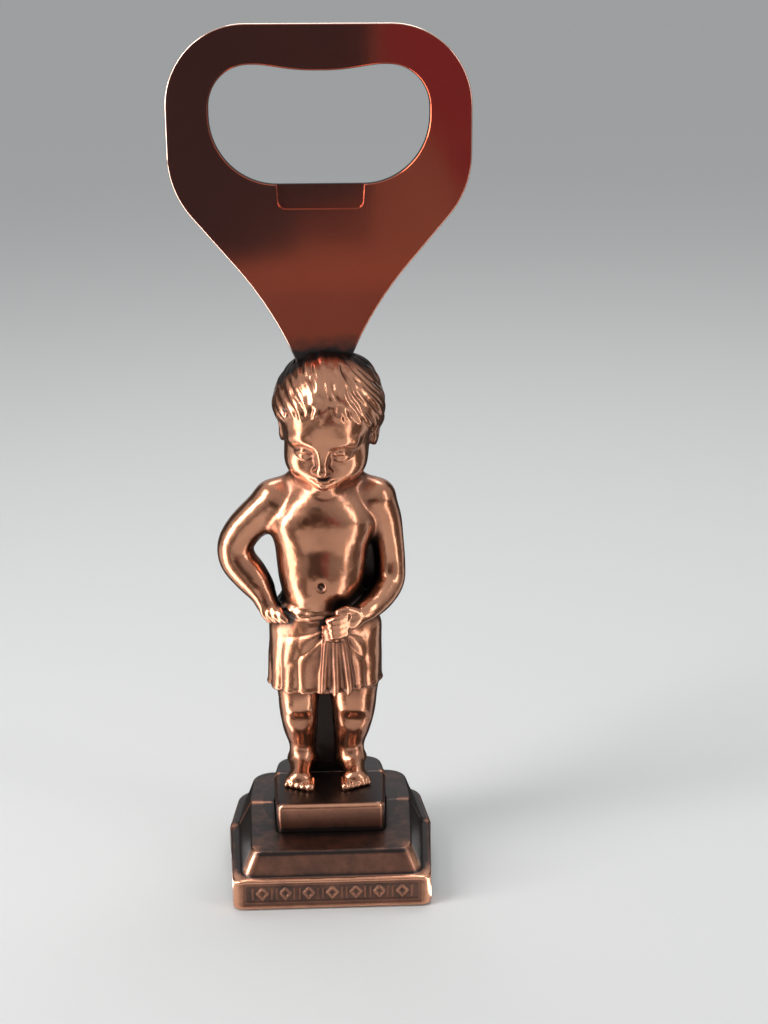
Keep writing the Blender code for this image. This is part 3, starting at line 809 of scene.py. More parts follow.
def figure_patina_and_shade(clay, webs, points, normals):
    """Where the dark patina stays, in hollows and hair, with patina and painted shade by the tang and
    painted shade on the webs.

    Painted shade adds a thinner layer on the sides and back, and the legs darken downwards."""
    hollow = clay.hollowness(points, normals)
    # Painted shade: the webs are dark for the depth of the gaps they fill.
    for web in webs:
        gap = web.distance(*points.T)
        hollow = np.maximum(hollow, unit(1.15 - gap / 0.5))
    x, y, z = points.T
    # Patina and painted shade round the tang's slot.
    from_tang = np.hypot(np.maximum(np.abs(x) - 4.2, 0), y) + np.maximum(79 - z, 0)
    hollow = np.maximum(hollow, unit(1.1 - from_tang / 4.0))
    turn = np.array(HEAD.inverted())
    local = np.column_stack([points, np.ones(len(points))]) @ turn[1:3].T
    lows = np.interp(local[:, 0], HAIRLINE_DEPTHS, HAIRLINE_HEIGHTS)
    in_hair = unit((local[:, 1] - lows + 0.4) / 0.8) * (z > 60)
    hollow = hollow * (1 + 0.35 * in_hair) + 0.05 * in_hair
    # Painted shade on surfaces that face the sides and back; the legs also darken downwards.
    behind = unit(0.7 * normals[:, 1] + 0.25)
    hollow = hollow + 0.16 * behind + 0.10 * unit((WRAP_HEM - z) / 9) * (z > 17.5)
    return unit(hollow)


# ---- plate


def plate_outline():
    half = [
        (PLATE_HALF_WIDTH, PLATE_TOP, 11.5),
        (PLATE_HALF_WIDTH, 107.0, 13.4),
        (7.8, 90.6, 52.0),
        (4.1, 82.4, 2.0),
        (3.2, TANG_END, 1.0),
    ]
    return rounded(mirrored(half), segments=20)


def hole_outline():
    half = [(3.0, 123.6, 33.0), (8.4, 124.45, 15.0), (15.7, 124.3, 5.9), (15.7, 107.9, 9.5)]
    return rounded(mirrored(half), segments=16)


def lip_outline(top):
    return rounded(mirrored([(LIP_HALF_TOP, top, 0), (LIP_HALF_FOOT, LIP_FOOT, LIP_CORNER)]))


def ringed(name, outline, profile):
    """A closed body whose outline is moved by each (offset, depth) of a profile in turn."""
    bm = bmesh.new()
    loops = [[bm.verts.new((p.x, depth, p.y)) for p in grown(outline, by)] for by, depth in profile]
    for near, far in zip(loops, loops[1:]):
        for i in range(len(near)):
            j = (i + 1) % len(near)
            bm.faces.new((near[i], near[j], far[j], far[i]))
    bm.faces.new(loops[0])
    bm.faces.new(reversed(loops[-1]))
    bmesh.ops.recalc_face_normals(bm, faces=bm.faces)
    place = Matrix.Scale(MM, 4) @ Matrix.Translation((0, PARTING_Y, 0))
    bmesh.ops.transform(bm, matrix=place, verts=bm.verts)
    mesh = bpy.data.meshes.new(name)
    bm.to_mesh(mesh)
    bm.free()
    return in_scene(name, mesh)


def arc(radius, start, end, steps):
    """Points (x, y) on a quarter or part of a circle about the origin, in degrees."""
    angles = np.radians(np.linspace(start, end, steps + 1))
    return [(radius * math.cos(a), radius * math.sin(a)) for a in angles]


def pressed_plate():
    """The stamping: a rolled front edge, a sharper rear edge, and the lip pressed back."""
    half = PLATE_THICK / 2
    roll, burr = 0.26, 0.12
    front = [(x - roll, -half + roll - y) for x, y in arc(roll, 90, 0, 5)]
    rear = [(x - burr, half - burr + y) for x, y in arc(burr, 0, 90, 3)]
    plate = ringed("plate", plate_outline(), front + rear)
    front = [(-x + roll, -half + roll - y) for x, y in arc(roll, 70, 0, 4)]
    rear = [(-x + burr, half - burr + y) for x, y in arc(burr, 0, 70, 3)]
    hole = ringed("hole", hole_outline(), [(0.6, -half - 0.5), *front, *rear, (0.4, half + 0.5)])
    soft = 0.07
    floor = [(-soft + x, -half + LIP_PRESS - soft + y) for x, y in arc(soft, 90, 5, 4)]
    rim = [(soft + 0.03 - x, -half + soft - y) for x, y in arc(soft, 5, 75, 4)]
    pocket = ringed("pocket", lip_outline(IN_HOLE), [*floor, *rim, (0.6, -half - 0.4)])
    proud = half + LIP_PRESS
    swell = [(0.9, half - 0.5), (0.9, half - 0.02), (0.7, half + 0.05), (0.55, half + 0.2)]
    swell += [(0.5, proud - 0.13), (0.35, proud - 0.04), (0.1, proud)]
    bump = ringed("bump", lip_outline(UNDER_HOLE), swell)
    for other, operation in ((bump, "UNION"), (pocket, "DIFFERENCE"), (hole, "DIFFERENCE")):
        modifier = plate.modifiers.new(other.name, "BOOLEAN")
        modifier.operation, modifier.object, modifier.solver = operation, other, "EXACT"
    mesh = applied(plate)
    for helper in (plate, hole, pocket, bump):
        bpy.data.objects.remove(helper)
    mesh.shade_smooth()
    mesh.set_sharp_from_angle(angle=math.radians(50))
    store(mesh, "rim", plate_rim_light_and_shade(mesh))
    return mesh


def plate_rim_light_and_shade(mesh):
    """1 on the outer edge, which gets a painted highlight, -1 on the hole's wall, which gets painted shade,
    and 0 on both faces.

    The lip keeps the plate's own tone, and only its border gets a faint painted highlight."""
    x, y, z = points_of(mesh).T
    between_faces = np.abs(y) < PLATE_THICK / 2 - 0.03
    by_hole = (np.abs(x) < 18) & (z > 105.9) & (z < 127)
    by_lip = (np.abs(x) < 7.2) & (z > 103) & (z < 107.75)
    rim = np.where(between_faces, np.where(by_hole, -1.0, 1.0), 0.0)
    border = y < -PLATE_THICK / 2 + 0.3
    return np.where(by_lip, np.where(between_faces & border, 0.3, 0.0), rim)


# ---- base


def plan(front, front_half, side_half, rear, rear_half, front_radius, rear_radius):
    """A base outline about the parting line, as points that match from one plan to the next.

    It runs from the middle of the rear, round by the left, along the front and back again."""

    def side_points(sign):
        front_end, middle = Vector((front_half, -front)), Vector((side_half, 0.0))
        rear_end, inwards = Vector((rear_half, rear)), Vector((-1, 0))
        front_corner = corner_arc(front_end, inwards, -(front_end - middle).normalized(), front_radius, 8)
        rear_corner = corner_arc(rear_end, -(rear_end - middle).normalized(), inwards, rear_radius, 10)
        seam = [(side_half, -SEAM_HALF), (side_half, SEAM_HALF)]
        made = front_corner + between(front_corner[-1], seam[0], 12) + seam
        made += between(seam[1], rear_corner[0], 8) + rear_corner
        return [(x * sign, y) for x, y in made]

    right, left = side_points(1), side_points(-1)
    front_run = between(left[0], right[0], FRONT_COLUMNS)
    rear_run = between(right[-1], left[-1], 12)
    return np.array(front_run + right + rear_run + left[::-1])


def between(a, b, count):
    """Points strictly between two others, evenly spaced."""
    a, b = np.array(a), np.array(b)
    return [tuple(a + (b - a) * (k + 1) / (count + 1)) for k in range(count)]


def corner_arc(corner, back, ahead, radius, steps):
    """A rounded corner: back and ahead are the directions of its two sides from it."""
    start, end = corner + back * radius, corner + ahead * radius
    weight = 0.72
    made = []
    for k in range(steps + 1):
        t = k / steps
        p = start * (1 - t) ** 2 + corner * (2 * weight * t * (1 - t)) + end * t**2
        p = p / ((1 - t) ** 2 + 2 * weight * t * (1 - t) + t**2)
        made.append((p.x, p.y))
    return made


def circle_like(outline, radius):
    """A circle with one point for each point of an outline, in the same directions."""
    angles = np.unwrap(np.arctan2(outline[:, 1], outline[:, 0]))
    return radius * np.stack([np.cos(angles), np.sin(angles)], axis=1)


def level(outline, ridge, fall=0.0):
    """An outline as 3D points, whose height falls away from the parting line."""
    return np.column_stack([outline, ridge - fall * np.abs(outline[:, 1])])


def softened(levels, closed=False):
    """Rings between levels (points, radius, rows after it), with each edge rounded."""
    rings = []
    count = len(levels)
    for i, (here, radius, rows) in enumerate(levels):
        after = levels[(i + 1) % count][0]
        last = levels[i - 1][0]
        if radius > 0:
            start = here + toward(here, last, radius)
            end = here + toward(here, after, radius)
            for t in np.linspace(0, 1, 6):
                rings.append(start * (1 - t) ** 2 + here * 2 * t * (1 - t) + end * t**2)
        else:
            end = here
            rings.append(here)
        if i + 1 < count or closed:
            next_radius = levels[(i + 1) % count][1]
            goal = after + toward(after, here, next_radius)
            rings += [end + (goal - end) * (k + 1) / (rows + 1) for k in range(rows)]
    return rings


def toward(a, b, distance):
    step = b - a
    length = np.maximum(np.linalg.norm(step, axis=1, keepdims=True), 1e-9)
    return step / length * np.minimum(distance, length * 0.45)


def loft(rings, closed):
    """Quads over rings of matching points. A closed loft joins the last ring to the first."""
    count, around = len(rings), len(rings[0])
    ring = np.arange(count if closed else count - 1)[:, None] * around
    column = np.arange(around)[None, :]
    after = (column + 1) % around
    up = (ring + around) % (count * around)
    quads = np.stack([ring + column, up + column, up + after, ring + after], axis=-1)
    return np.concatenate(rings), quads.reshape(-1, 4)


SLAB = plan(SLAB_FRONT, 15.3, 16.3, 13.4, 15.0, 1.5, 3.6)
STEP_LOW = plan(16.2, 13.9, 14.9, 12.7, 13.7, 1.9, 3.3)
STEP_TOP = plan(15.3, 12.3, 12.9, 11.5, 12.5, 1.8, 3.1)
PLINTH = plan(9.7, 8.5, 8.95, 7.3, 8.2, 1.2, 2.7)


def frieze(x, z):
    """The front panel's relief: a raised border round a row of lozenges and bars."""
    off_middle = np.abs(z - 2.8)
    edge = np.maximum(np.abs(x) - 13.7, off_middle - 1.78)
    field = -0.24 * unit(0.5 - edge / 0.35)
    border = 0.16 * unit(1 - np.abs(edge + 0.30) / 0.24)
    pitch = 3.6
    aside = np.abs((x + pitch / 2) % pitch - pitch / 2)
    lozenge = 1 - aside / 1.12 - off_middle / 1.25
    bar = unit(1.3 - np.abs(aside - 1.42) / 0.16) * unit(5 * (1.12 - off_middle))
    shown = (edge < -0.6) & (np.abs(x) < 12.6)
    raised = np.clip(lozenge * 1.7, 0, 0.23) - np.clip(lozenge - 0.45, 0, 0.18) * 1.25
    raised = np.where(shown, np.maximum(raised, 0.22 * bar), 0)
    return field + border + raised


def base_mesh():
    """The base as one closed loft: its outer skin, the plinth's socket, and the hollow inside."""
    fall = BASE_FALL
    hole = circle_like(SLAB, 1.8)
    boss = circle_like(SLAB, 4.6)
    cavity = plan(15.0, 13.3, 14.3, 11.4, 13.0, 0.8, 2.8)
    roof = plan(13.3, 10.3, 10.9, 9.5, 10.5, 0.8, 2.4)
    recess = plan(SLAB_FRONT - 1.0, 14.3, 15.3, 12.4, 14.0, 1.0, 3.2)
    socket = plan(9.85, 8.65, 9.1, 7.45, 8.35, 1.2, 2.7)
    rest = PAD_THICK + 0.3
    # Each row: an outline, its height, its fall, its edge's radius, and the rows of points after it
    rows = [(SLAB, BASE_LOW, 0, 0.25, 34), (SLAB, 5.6, fall, 0.42, 1), (STEP_LOW, 5.95, fall, 0.3, 7)]
    rows += [(STEP_TOP, 9.8, fall, 0.4, 8), (socket, 9.75, fall, 0.12, 0), (socket, 8.9, 0, 0, 0)]
    rows += [(hole, 8.9, 0, 0, 0), (hole, 5.6, 0, 0, 0), (boss, 5.6, 0, 0, 0), (boss, 7.0, 0, 0, 0)]
    rows += [(roof, 7.0, fall, 0, 0), (cavity, 3.4, fall, 0, 0), (cavity, rest, 0, 0, 0)]
    rows += [(recess, rest, 0, 0, 0), (recess, BASE_LOW, 0, 0, 0)]
    levels = [(level(outline, z, drop), radius, after) for outline, z, drop, radius, after in rows]
    points, quads = loft(softened(levels, closed=True), closed=True)
    outer = np.arange(len(points)) < len(softened(levels[:5])) * len(SLAB)
    flat_front = points[:, 1] < -SLAB_FRONT + 0.02
    height = np.where(flat_front, frieze(points[:, 0], points[:, 2]), 0.0)
    points[:, 1] -= height
    wear_and_highlight, hollow = base_wear_and_highlight(points, height)
    mesh = mesh_from("base", mismatched(points, outer), quads, sharp_angle=60)
    store(mesh, "wear_and_highlight", wear_and_highlight)
    store(mesh, "hollow", hollow)
    return mesh


def mismatched(points, outer):
    """Moves the front half of the outer skin in and down a hair, for a step at the parting line."""
    x, y, z = points.T
    front = (y < 0) & outer
    moved = points.copy()
    moved[:, 0] -= np.where(front & (np.abs(x) > 8), 0.11 * np.sign(x), 0)
    moved[:, 2] -= np.where(front & (z > 5.2), 0.08, 0)
    return moved


def base_wear_and_highlight(points, relief):
    """Where fingers and the polishing wheel reach, with painted highlight on the front faces, front corners
    and parting seam, and where the dark patina stays.
    """
    x, y, z = points.T
    ridge = np.abs(y) * BASE_FALL
    front = unit((-y - 9.5) / 3.0)
    slab_edge = bell(z, 5.55 - ridge, 0.3)
    step_edge = bell(z, 9.75 - ridge, 0.22) * (np.hypot(x, y) > 10.8)
    low_edge = bell(z, BASE_LOW, 0.4)
    # The front faces are brighter: partly rubbed, partly painted highlight.
    face = (z < 9.4 - ridge) & (y < -14.7)
    corner_x = np.interp(z, (0, 5.6, 6.0, 9.8), (15.2, 15.2, 13.5, 11.9))
    # Painted highlight on the front corners.
    corner = bell(np.abs(x), corner_x, 0.9) * (y < -13.5)
    wear_and_highlight = np.where(z < 5.4, 0.57, 0.40) * face + 0.5 * corner
    wear_and_highlight = wear_and_highlight + 0.46 * np.maximum(np.maximum(slab_edge, 0.6 * step_edge), low_edge) * (0.8 + 0.2 * front)
    # The parting seam is rubbed bright, with more painted highlight on the left.
    seam = bell(y, 0, 0.22) * (np.abs(x) > 9.3)
    wear_and_highlight = wear_and_highlight + np.where(x < 0, 0.55, 0.2) * seam
    wear_and_highlight = wear_and_highlight + unit(relief + 0.16) * 0.9 * (relief != 0)
    hollow = np.clip(-relief * 1.9, 0, 0.4)
    foot_of_slope = bell(z, 6.0 - ridge, 0.2)
    hollow = np.maximum(hollow, 0.6 * foot_of_slope * (1 - slab_edge))
    return unit(wear_and_highlight), unit(hollow)


def plinth_mesh():
    """The block under the feet, with rounded edges, its own rubbing and patina, and painted highlight on its
    front.
    """
    fall = PLINTH_FALL
    middle = circle_like(PLINTH, 0.05)
    levels = [
        (level(middle, 9.2), 0, 0),
        (level(PLINTH, 9.2), 0, 6),
        (level(PLINTH, PLINTH_TOP, fall), 0.95, 5),
        (level(PLINTH * 0.6, PLINTH_TOP, fall), 0, 2),
        (level(middle, PLINTH_TOP), 0, 0),
    ]
    points, quads = loft(softened(levels), closed=False)
    mesh = mesh_from("plinth", mismatched(points, points[:, 2] > 9.3), quads)
    bm = bmesh.new()
    bm.from_mesh(mesh)
    bmesh.ops.remove_doubles(bm, verts=bm.verts, dist=0.02 * MM)
    bmesh.ops.holes_fill(bm, edges=bm.edges)
    bmesh.ops.recalc_face_normals(bm, faces=bm.faces)
    bm.to_mesh(mesh)
    bm.free()
    mesh.set_sharp_from_angle(angle=math.radians(60))
    x, y, z = points_of(mesh).T
    edge = bell(z, PLINTH_TOP - 0.4 - fall * np.abs(y), 0.4)
    outside = unit(np.maximum(np.abs(x) - 7.2, -y - 8.2))
    seam = bell(y, 0, 0.3) * (np.abs(x) > 8)
    # Painted highlight on the front corners; the front face, below, is partly rubbed and partly painted
    # highlight.
    corner = bell(np.abs(x), 8.4, 0.4) * (y < -8.8)
    rubbed = 0.5 * edge * outside * (y < 1) + 0.38 * edge * (y > 1)
    store(mesh, "wear_and_highlight", unit(0.5 * (y < -9.3) + rubbed + 0.35 * corner + 0.6 * seam))
    store(mesh, "hollow", unit(bell(z, 9.5, 0.45) + 0.4 * (z > 13.6) * (1 - outside)))
    return mesh


# ---- materials


class Shader:
    """A small hand for building one material's nodes."""

    def __init__(self, name):
        self.material = bpy.data.materials.new(name)
        self.material.use_nodes = True
        self.tree = self.material.node_tree
        self.surface = self.tree.nodes["Principled BSDF"]

    def add(self, kind, links=(), **settings):
        node = self.tree.nodes.new("ShaderNode" + kind)
        for key, value in settings.items():
            setattr(node, key, value)
        for socket, source in dict(links).items():
            self.put(node.inputs[socket], source)
        return node

    def put(self, socket, source):
        if isinstance(source, bpy.types.NodeSocket):
            self.tree.links.new(source, socket)
        else:
            socket.default_value = source

    def set(self, **values):
        for name, value in values.items():
            self.put(self.surface.inputs[name.replace("_", " ")], value)

    def place(self):
        return self.add("TexCoord").outputs["Object"]

    def noise(self, scale, detail, rough=0.5, stretch=None):
        where = self.place()
        if stretch:
            where = self.add("Mapping", {"Vector": where, "Scale": stretch}).outputs[0]
        links = {"Vector": where, "Scale": scale, "Detail": detail, "Roughness": rough}
        return self.add("TexNoise", links).outputs["Fac"]

    def ramp(self, source, *stops):
        node = self.add("ValToRGB", {"Fac": source})
        band = node.color_ramp
        while len(band.elements) < len(stops):
            band.elements.new(0.5)
        for element, (position, colour) in zip(band.elements, stops):
            element.position = position
            element.color = (*colour, 1.0) if isinstance(colour, tuple) else (colour,) * 3 + (1.0,)
        return node.outputs["Color"]

    def math(self, operation, a, b=0.0, clamp=False):
        node = self.add("Math", {0: a, 1: b}, operation=operation, use_clamp=clamp)
        return node.outputs[0]

    def varied(self, value, noise, amount):
        """A value, raised and lowered by a noise that lies about 0.5."""
        return self.math("ADD", value, self.math("MULTIPLY", self.math("SUBTRACT", noise, 0.5), amount))

    def mix(self, share, a, b):
        node = self.add("Mix", data_type="RGBA")
        for socket, source in ((node.inputs[0], share), (node.inputs[6], a), (node.inputs[7], b)):
            if isinstance(source, tuple):
                source = (*source, 1.0)
            self.put(socket, source)
        return node.outputs[2]

    def facing(self):
        """The surface's own direction in the piece's axes."""
        return self.add("TexCoord").outputs["Normal"]

    def attribute(self, name):
        return self.add("Attribute", attribute_name=name).outputs["Fac"]

    def bump(self, height, distance, under=None):
        links = {"Height": height, "Distance": distance, "Strength": 1.0}
        if under is not None:
            links["Normal"] = under
        return self.add("Bump", links).outputs["Normal"]


def polished_copper():
    """Mirror-bright copper plate under a red lacquer, with faint smears and fine scratches.

    Its lower end, where it enters the head, is dark. The outer edge has a painted highlight, and the hole's
    wall painted shade."""
    s = Shader("polished_copper")
    smear = s.noise(55.0, 3.0)
    specks = s.noise(1900.0, 2.0, 0.7)
    fine = s.noise(900.0, 2.0, stretch=(1.0, 1.0, 0.12))
    height = s.add("SeparateXYZ", {0: s.place()}).outputs[2]
    height = s.varied(height, s.noise(420.0, 4.0), 0.003)
    # The plate is dark below about 85 mm, where it goes down into the head.
    above_head = s.math("MULTIPLY", s.math("SUBTRACT", height, 0.080), 100.0, clamp=True)
    dark_lower_end = s.ramp(above_head, (0.38, 1.0), (0.62, 0.0))
    tone = s.mix(s.ramp(smear, (0.35, 0.0), (0.7, 1.0)), (0.44, 0.070, 0.026), (0.49, 0.090, 0.036))
    tone = s.mix(s.ramp(specks, (0.74, 0.0), (0.80, 0.5)), tone, (0.75, 0.45, 0.35))
    rim = s.attribute("rim")
    # Painted highlight: the pale colour where rim is above 0, on the outer edge and the lip's border.
    tone = s.mix(s.math("MAXIMUM", rim, 0.0), tone, (0.86, 0.66, 0.56))
    # Painted shade: where rim is below 0, the hole's wall that faces sideways is near black, rough and not
    # metal.
    sideways = s.math("ABSOLUTE", s.add("SeparateXYZ", {0: s.facing()}).outputs[1], 0.0)
    wall = s.math("MULTIPLY", rim, -1.0, clamp=True)
    wall = s.math("MULTIPLY", wall, s.ramp(sideways, (0.5, 1.0), (0.85, 0.0)))
    tone = s.mix(wall, tone, (0.012, 0.009, 0.008))
    s.set(Base_Color=s.mix(dark_lower_end, tone, (0.03, 0.022, 0.02)))
    rough = s.ramp(smear, (0.3, 0.055), (0.75, 0.10))
    for share, more in ((dark_lower_end, 0.3), (wall, 0.9)):
        rough = s.math("ADD", rough, s.math("MULTIPLY", share, more))
    s.set(Metallic=s.math("SUBTRACT", 1.0, wall), Roughness=rough)
    s.set(Coat_Weight=s.ramp(wall, (0.0, 0.6), (1.0, 0.0)), Coat_Roughness=0.45)
    waves = s.bump(s.noise(24.0, 1.0), 0.00003)
    s.set(Normal=s.bump(fine, 0.0000012, under=waves))
    return s.material


def cast_copper(name):
    """Polished copper plating over a casting, with a black-brown patina in its hollows and painted shade in
    its gaps and on its back.
    """
    s = Shader(name)
    patchy = s.noise(330.0, 5.0, 0.6)
    broad = s.noise(95.0, 3.0)
    wobble = s.noise(260.0, 2.0, 0.4)
    hollow = s.attribute("hollow")
    # The hollow attribute holds patina and painted shade; a noise varies it here.
    patina_and_shade = s.varied(hollow, patchy, 0.42)
    dark = s.ramp(patina_and_shade, (0.34, 0.0), (0.60, 1.0))
    bright = s.mix(s.ramp(broad, (0.35, 0.0), (0.65, 1.0)), (0.67, 0.31, 0.18), (0.47, 0.195, 0.108))
    toned = s.mix(s.ramp(patina_and_shade, (0.14, 0.0), (0.36, 1.0)), bright, (0.34, 0.135, 0.075))
    s.set(Base_Color=s.mix(dark, toned, (0.032, 0.022, 0.019)))
    s.set(Metallic=1.0, Roughness=s.ramp(patina_and_shade, (0.12, 0.23), (0.6, 0.45)))
    s.set(Coat_Weight=s.ramp(patina_and_shade, (0.30, 0.6), (0.60, 0.15)), Coat_Roughness=0.12)
    dents = s.bump(wobble, 0.00022)
    dents = s.bump(s.noise(600.0, 2.0, 0.45), 0.00008, under=dents)
    pits = s.bump(patchy, 0.000012, under=dents)
    s.set(Normal=s.bump(s.noise(1500.0, 2.0), 0.000002, under=pits))
    return s.material


def base_copper():
    """The base's copper: bright on rubbed edges and under painted highlight on its front, dark with patina
    elsewhere.
    """
    s = Shader("antiqued_copper_base")
    patchy = s.noise(420.0, 6.0, 0.62)
    broad = s.noise(120.0, 3.0)
    # The attribute read here holds rubbing and painted highlight; patina in the hollows takes some away.
    wear_and_highlight_level = s.varied(s.attribute("wear_and_highlight"), patchy, 0.5)
    wear_and_highlight_level = s.math("SUBTRACT", wear_and_highlight_level, s.math("MULTIPLY", s.attribute("hollow"), 0.7))
    brown = s.mix(s.ramp(broad, (0.35, 0.0), (0.65, 1.0)), (0.26, 0.115, 0.075), (0.33, 0.145, 0.09))
    low = s.mix(s.ramp(wear_and_highlight_level, (0.18, 0.0), (0.55, 1.0)), (0.050, 0.038, 0.034), brown)
    s.set(Base_Color=s.mix(s.ramp(wear_and_highlight_level, (0.62, 0.0), (0.98, 1.0)), low, (0.78, 0.38, 0.23)))
    s.set(Metallic=1.0, Roughness=s.ramp(wear_and_highlight_level, (0.1, 0.38), (0.9, 0.24)))
    s.set(Coat_Weight=0.3, Coat_Roughness=0.3)
    dents = s.bump(s.noise(200.0, 2.0, 0.4), 0.00005)
    pits = s.bump(patchy, 0.00002, under=dents)
    s.set(Normal=s.bump(s.noise(1400.0, 3.0), 0.000004, under=pits))
    return s.material


def plated_steel():
    s = Shader("plated_steel")
    grain = s.noise(700.0, 3.0, stretch=(1.0, 1.0, 0.2))
    s.set(Base_Color=s.ramp(grain, (0.3, (0.42, 0.42, 0.43)), (0.7, (0.56, 0.55, 0.53))))
    s.set(Metallic=1.0, Roughness=s.ramp(grain, (0.3, 0.28), (0.7, 0.42)))
    return s.material


def felt():
    s = Shader("felt")
    fuzz = s.noise(2600.0, 6.0, 0.7)
    s.set(Base_Color=s.ramp(fuzz, (0.3, (0.012, 0.020, 0.014)), (0.75, (0.05, 0.075, 0.05))))
    s.set(Roughness=0.95, Normal=s.bump(fuzz, 0.00012))
    s.set(Sheen_Weight=0.6, Sheen_Roughness=0.6)
    return s.material


# ---- stage

# Where the cards are, in metres: the front ones' distance, and the floor ones' lift and reach
FRONT_CARD_Y = -0.75
PATCH_HEIGHT, RING_HEIGHT = 0.0005, 0.0006
CARD_REACH = 0.7


def stage_piece(name, mesh, colour, light=0.0, seen=True):
    """The floor or a card. A card shows only in reflections, and glows by itself."""
    s = Shader(name)
    s.set(Base_Color=(*colour, 1.0) if not light else (0.0, 0.0, 0.0, 1.0), Roughness=0.9)
    s.set(Specular_IOR_Level=0.0)
    if light:
        s.set(Emission_Color=(*colour, 1.0), Emission_Strength=light)
    mesh.materials.append(s.material)
    obj = in_scene(name, mesh)
    if not seen:
        obj.visible_camera = False
        obj.visible_shadow = False
        obj.visible_diffuse = False


def flat_mesh(name, corners):
    mesh = bpy.data.meshes.new(name)
    mesh.from_pydata(corners, [], [range(len(corners))])
    return mesh


def upright_card(name, middle, size, turn, colour):
    """A standing card, in metres, that is turned in degrees from facing the front."""
    along = Vector((math.cos(math.radians(turn)), math.sin(math.radians(turn)), 0)) * size[0] / 2
    up = Vector((0, 0, size[1] / 2))
    middle = Vector(middle)
    corners = [middle - along - up, middle + along - up, middle + along + up, middle - along + up]
    stage_piece(name, flat_mesh(name, corners), colour, light=1.0, seen=False)


def front_card(name, outline, colour):
    """A standing card far in front, for the plate to mirror, from its outline in X and Z."""
    mesh = flat_mesh(name, [(x, FRONT_CARD_Y, z) for x, z in outline])
    stage_piece(name, mesh, colour, light=1.0, seen=False)


def floor_card(name, start, end, inside, colour, light=1.0):
    """A slice of ring lying on the floor. Its angles count from the front to the right.

    Upright surfaces mirror the floor to a camera above them, so this gives them their streaks."""
    angles = [math.radians(start + (end - start) * k / 8) for k in range(9)]
    steps = [(inside, a) for a in angles] + [(CARD_REACH, a) for a in reversed(angles)]
    corners = [(reach * math.sin(a), -reach * math.cos(a), RING_HEIGHT) for reach, a in steps]
    stage_piece(name, flat_mesh(name, corners), colour, light, seen=False)


def floor_patch(name, corners, colour):
    """A darker stretch of floor well in front, which the plate's lower half reflects."""
    mesh = flat_mesh(name, [(x, y, PATCH_HEIGHT) for x, y in corners])
    stage_piece(name, mesh, colour, light=1.0, seen=False)


def soft_light(name, spot, size, watts, spread=180):
    """A lit panel, in metres, that faces the figure's chest."""
    aim = Vector((0, 0, 0.06))
    data = bpy.data.lights.new(name, "AREA")
    data.shape = "RECTANGLE"
    data.size, data.size_y = size
    data.energy = watts
    data.spread = math.radians(spread)
    obj = in_scene(name, data)
    obj.location = spot
    obj.rotation_euler = (aim - Vector(spot)).to_track_quat("-Z", "Y").to_euler()


def sky():
    """A soft dome of light, pale grey overhead and a darker grey at its rim."""
    world = bpy.data.worlds.new("studio")
    world.use_nodes = True
    tree = world.node_tree
    way = tree.nodes.new("ShaderNodeTexCoord")
    split = tree.nodes.new("ShaderNodeSeparateXYZ")
    ramp = tree.nodes.new("ShaderNodeValToRGB")
    tree.links.new(way.outputs["Generated"], split.inputs[0])
    tree.links.new(split.outputs[2], ramp.inputs[0])
    tree.links.new(ramp.outputs[0], tree.nodes["Background"].inputs["Color"])
    rim, overhead = ramp.color_ramp.elements
    rim.position, rim.color = 0.02, (0.34, 0.345, 0.35, 1.0)
    overhead.position, overhead.color = 0.9, (0.62, 0.64, 0.66, 1.0)
    bpy.context.scene.world = world


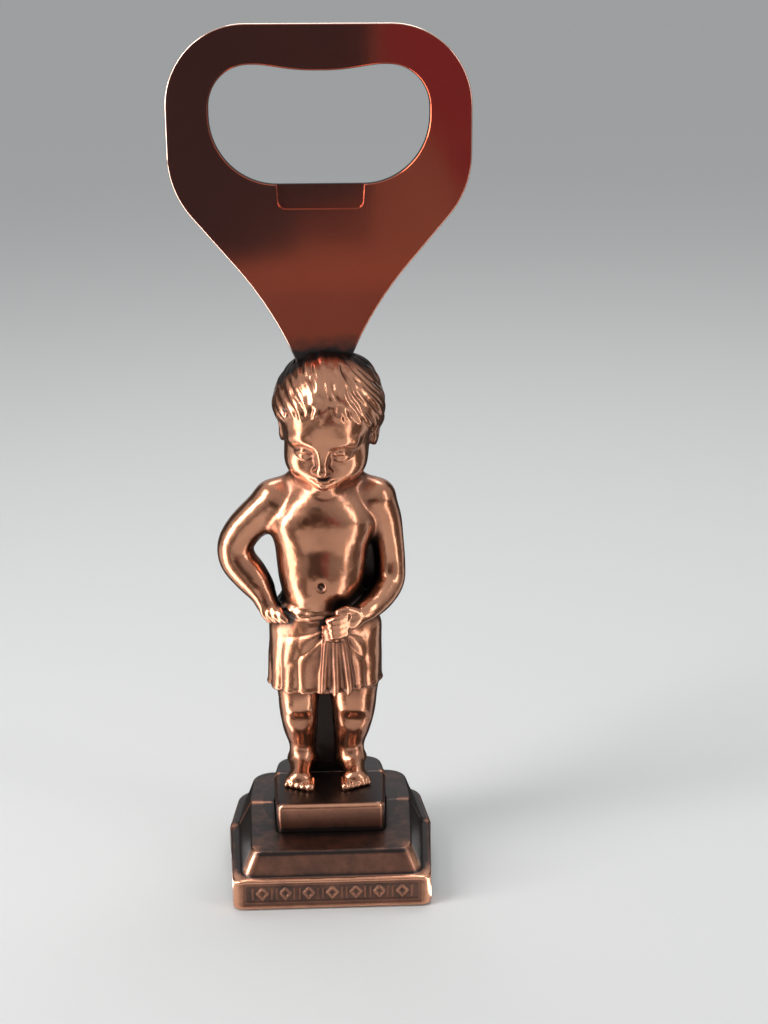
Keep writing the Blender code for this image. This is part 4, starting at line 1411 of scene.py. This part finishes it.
def studio():
    """The floor, the lights, and the cards that the copper mirrors. All lengths are in metres."""
    bpy.context.scene.view_settings.view_transform = "Standard"
    floor = flat_mesh("floor", [(-15, -15, 0), (15, -15, 0), (15, 15, 0), (-15, 15, 0)])
    stage_piece("floor", floor, (0.62, 0.62, 0.61))
    sky()
    soft_light("key_light", (-0.42, -0.22, 0.40), (0.20, 0.40), 0.62, spread=100)
    soft_light("window_light", (-0.50, -0.16, 0.15), (0.14, 0.20), 0.22, spread=75)
    soft_light("top_light", (0.05, 0.20, 0.60), (0.40, 0.16), 1.1)
    soft_light("side_light", (0.46, -0.30, 0.26), (0.09, 0.36), 0.5)
    brown = [(-0.42, 0.0), (-0.01, 0.0), (-0.01, 0.018), (0.035, 0.028), (0.041, 0.34), (-0.42, 0.34)]
    deep_brown = (0.055, 0.040, 0.036)
    front_card("brown_card", brown, deep_brown)
    mixed = [(-0.01, 0.0), (0.035, 0.0), (0.035, 0.028), (-0.01, 0.018)]
    front_card("mixed_card", mixed, (0.18, 0.14, 0.12))
    red = [(0.041, 0.095), (0.071, 0.062), (0.104, 0.0), (0.20, 0.0), (0.20, 0.21), (0.041, 0.21)]
    front_card("red_card", red, (0.30, 0.055, 0.085))
    for name, side in (("left_flag", -1), ("right_flag", 1)):
        upright_card(name, (0.42 * side, 0.36, 0.20), (0.34, 0.60), -40 * side, (0.05, 0.045, 0.04))
    corner = [(-0.42, -0.75), (-0.01, -0.75), (-0.009, -0.706), (-0.041, -0.657), (-0.42, -0.60)]
    floor_patch("corner_shade", corner, deep_brown)
    front = [(-0.3, -0.56), (0.3, -0.56), (0.3, -0.30), (-0.3, -0.30)]
    floor_patch("front_shade", front, (0.31, 0.295, 0.285))
    far = [(-0.05, -0.66), (0.3, -0.75), (0.3, -0.56), (-0.3, -0.56)]
    floor_patch("far_shade", far, (0.43, 0.41, 0.40))
    dark, white = (0.045, 0.038, 0.034), (1.0, 0.97, 0.93)
    floor_card("left_streak", -84, -62, 0.02, white, 6.0)
    floor_card("right_streak", 50, 58, 0.02, white, 4.5)
    floor_card("left_shade", -64, -34, 0.05, (0.16, 0.14, 0.13))
    floor_card("right_shade", 60, 100, 0.03, (0.12, 0.10, 0.09))
    floor_card("left_dark", -172, -118, 0.02, dark)
    floor_card("right_dark", 122, 172, 0.02, dark)


def camera():
    """The photograph's view: from a little above, looking down, and a touch to the right."""
    data = bpy.data.cameras.new("camera")
    data.sensor_width = 36.0
    data.lens = 56.55
    data.clip_start = 0.01
    obj = in_scene("camera", data)
    obj.location = (-0.0015, -0.2332, 0.1308)
    turned = Matrix.Rotation(math.radians(-2.54), 3, "Z")
    tilted = Matrix.Rotation(math.radians(90 - 17.12), 3, "X")
    rolled = Matrix.Rotation(math.radians(-0.28), 3, "Z")
    obj.rotation_euler = (turned @ tilted @ rolled).to_euler()
    bpy.context.scene.camera = obj


# ---- assembly


def build():
    camera()
    studio()
    casting = cast_copper("antiqued_copper")
    stand = base_copper()
    plate = piece("plate", pressed_plate(), polished_copper(), ["opener_plate"])
    weighted = plate.modifiers.new("flat_faces", "WEIGHTED_NORMAL")
    weighted.keep_sharp = True
    weighted.weight = 100
    piece("cast_figure", sculpted_figure(), casting, ["figure"])
    piece("plinth", plinth_mesh(), stand)
    piece("stepped_base", base_mesh(), stand, ["base"])
    steel, pad = plated_steel(), felt()
    for name in ("tang_pin", "base_screw", "washer", "base_pad"):
        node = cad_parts[name]
        for slot in node.material_slots:
            slot.material = pad if name == "base_pad" else steel


build()
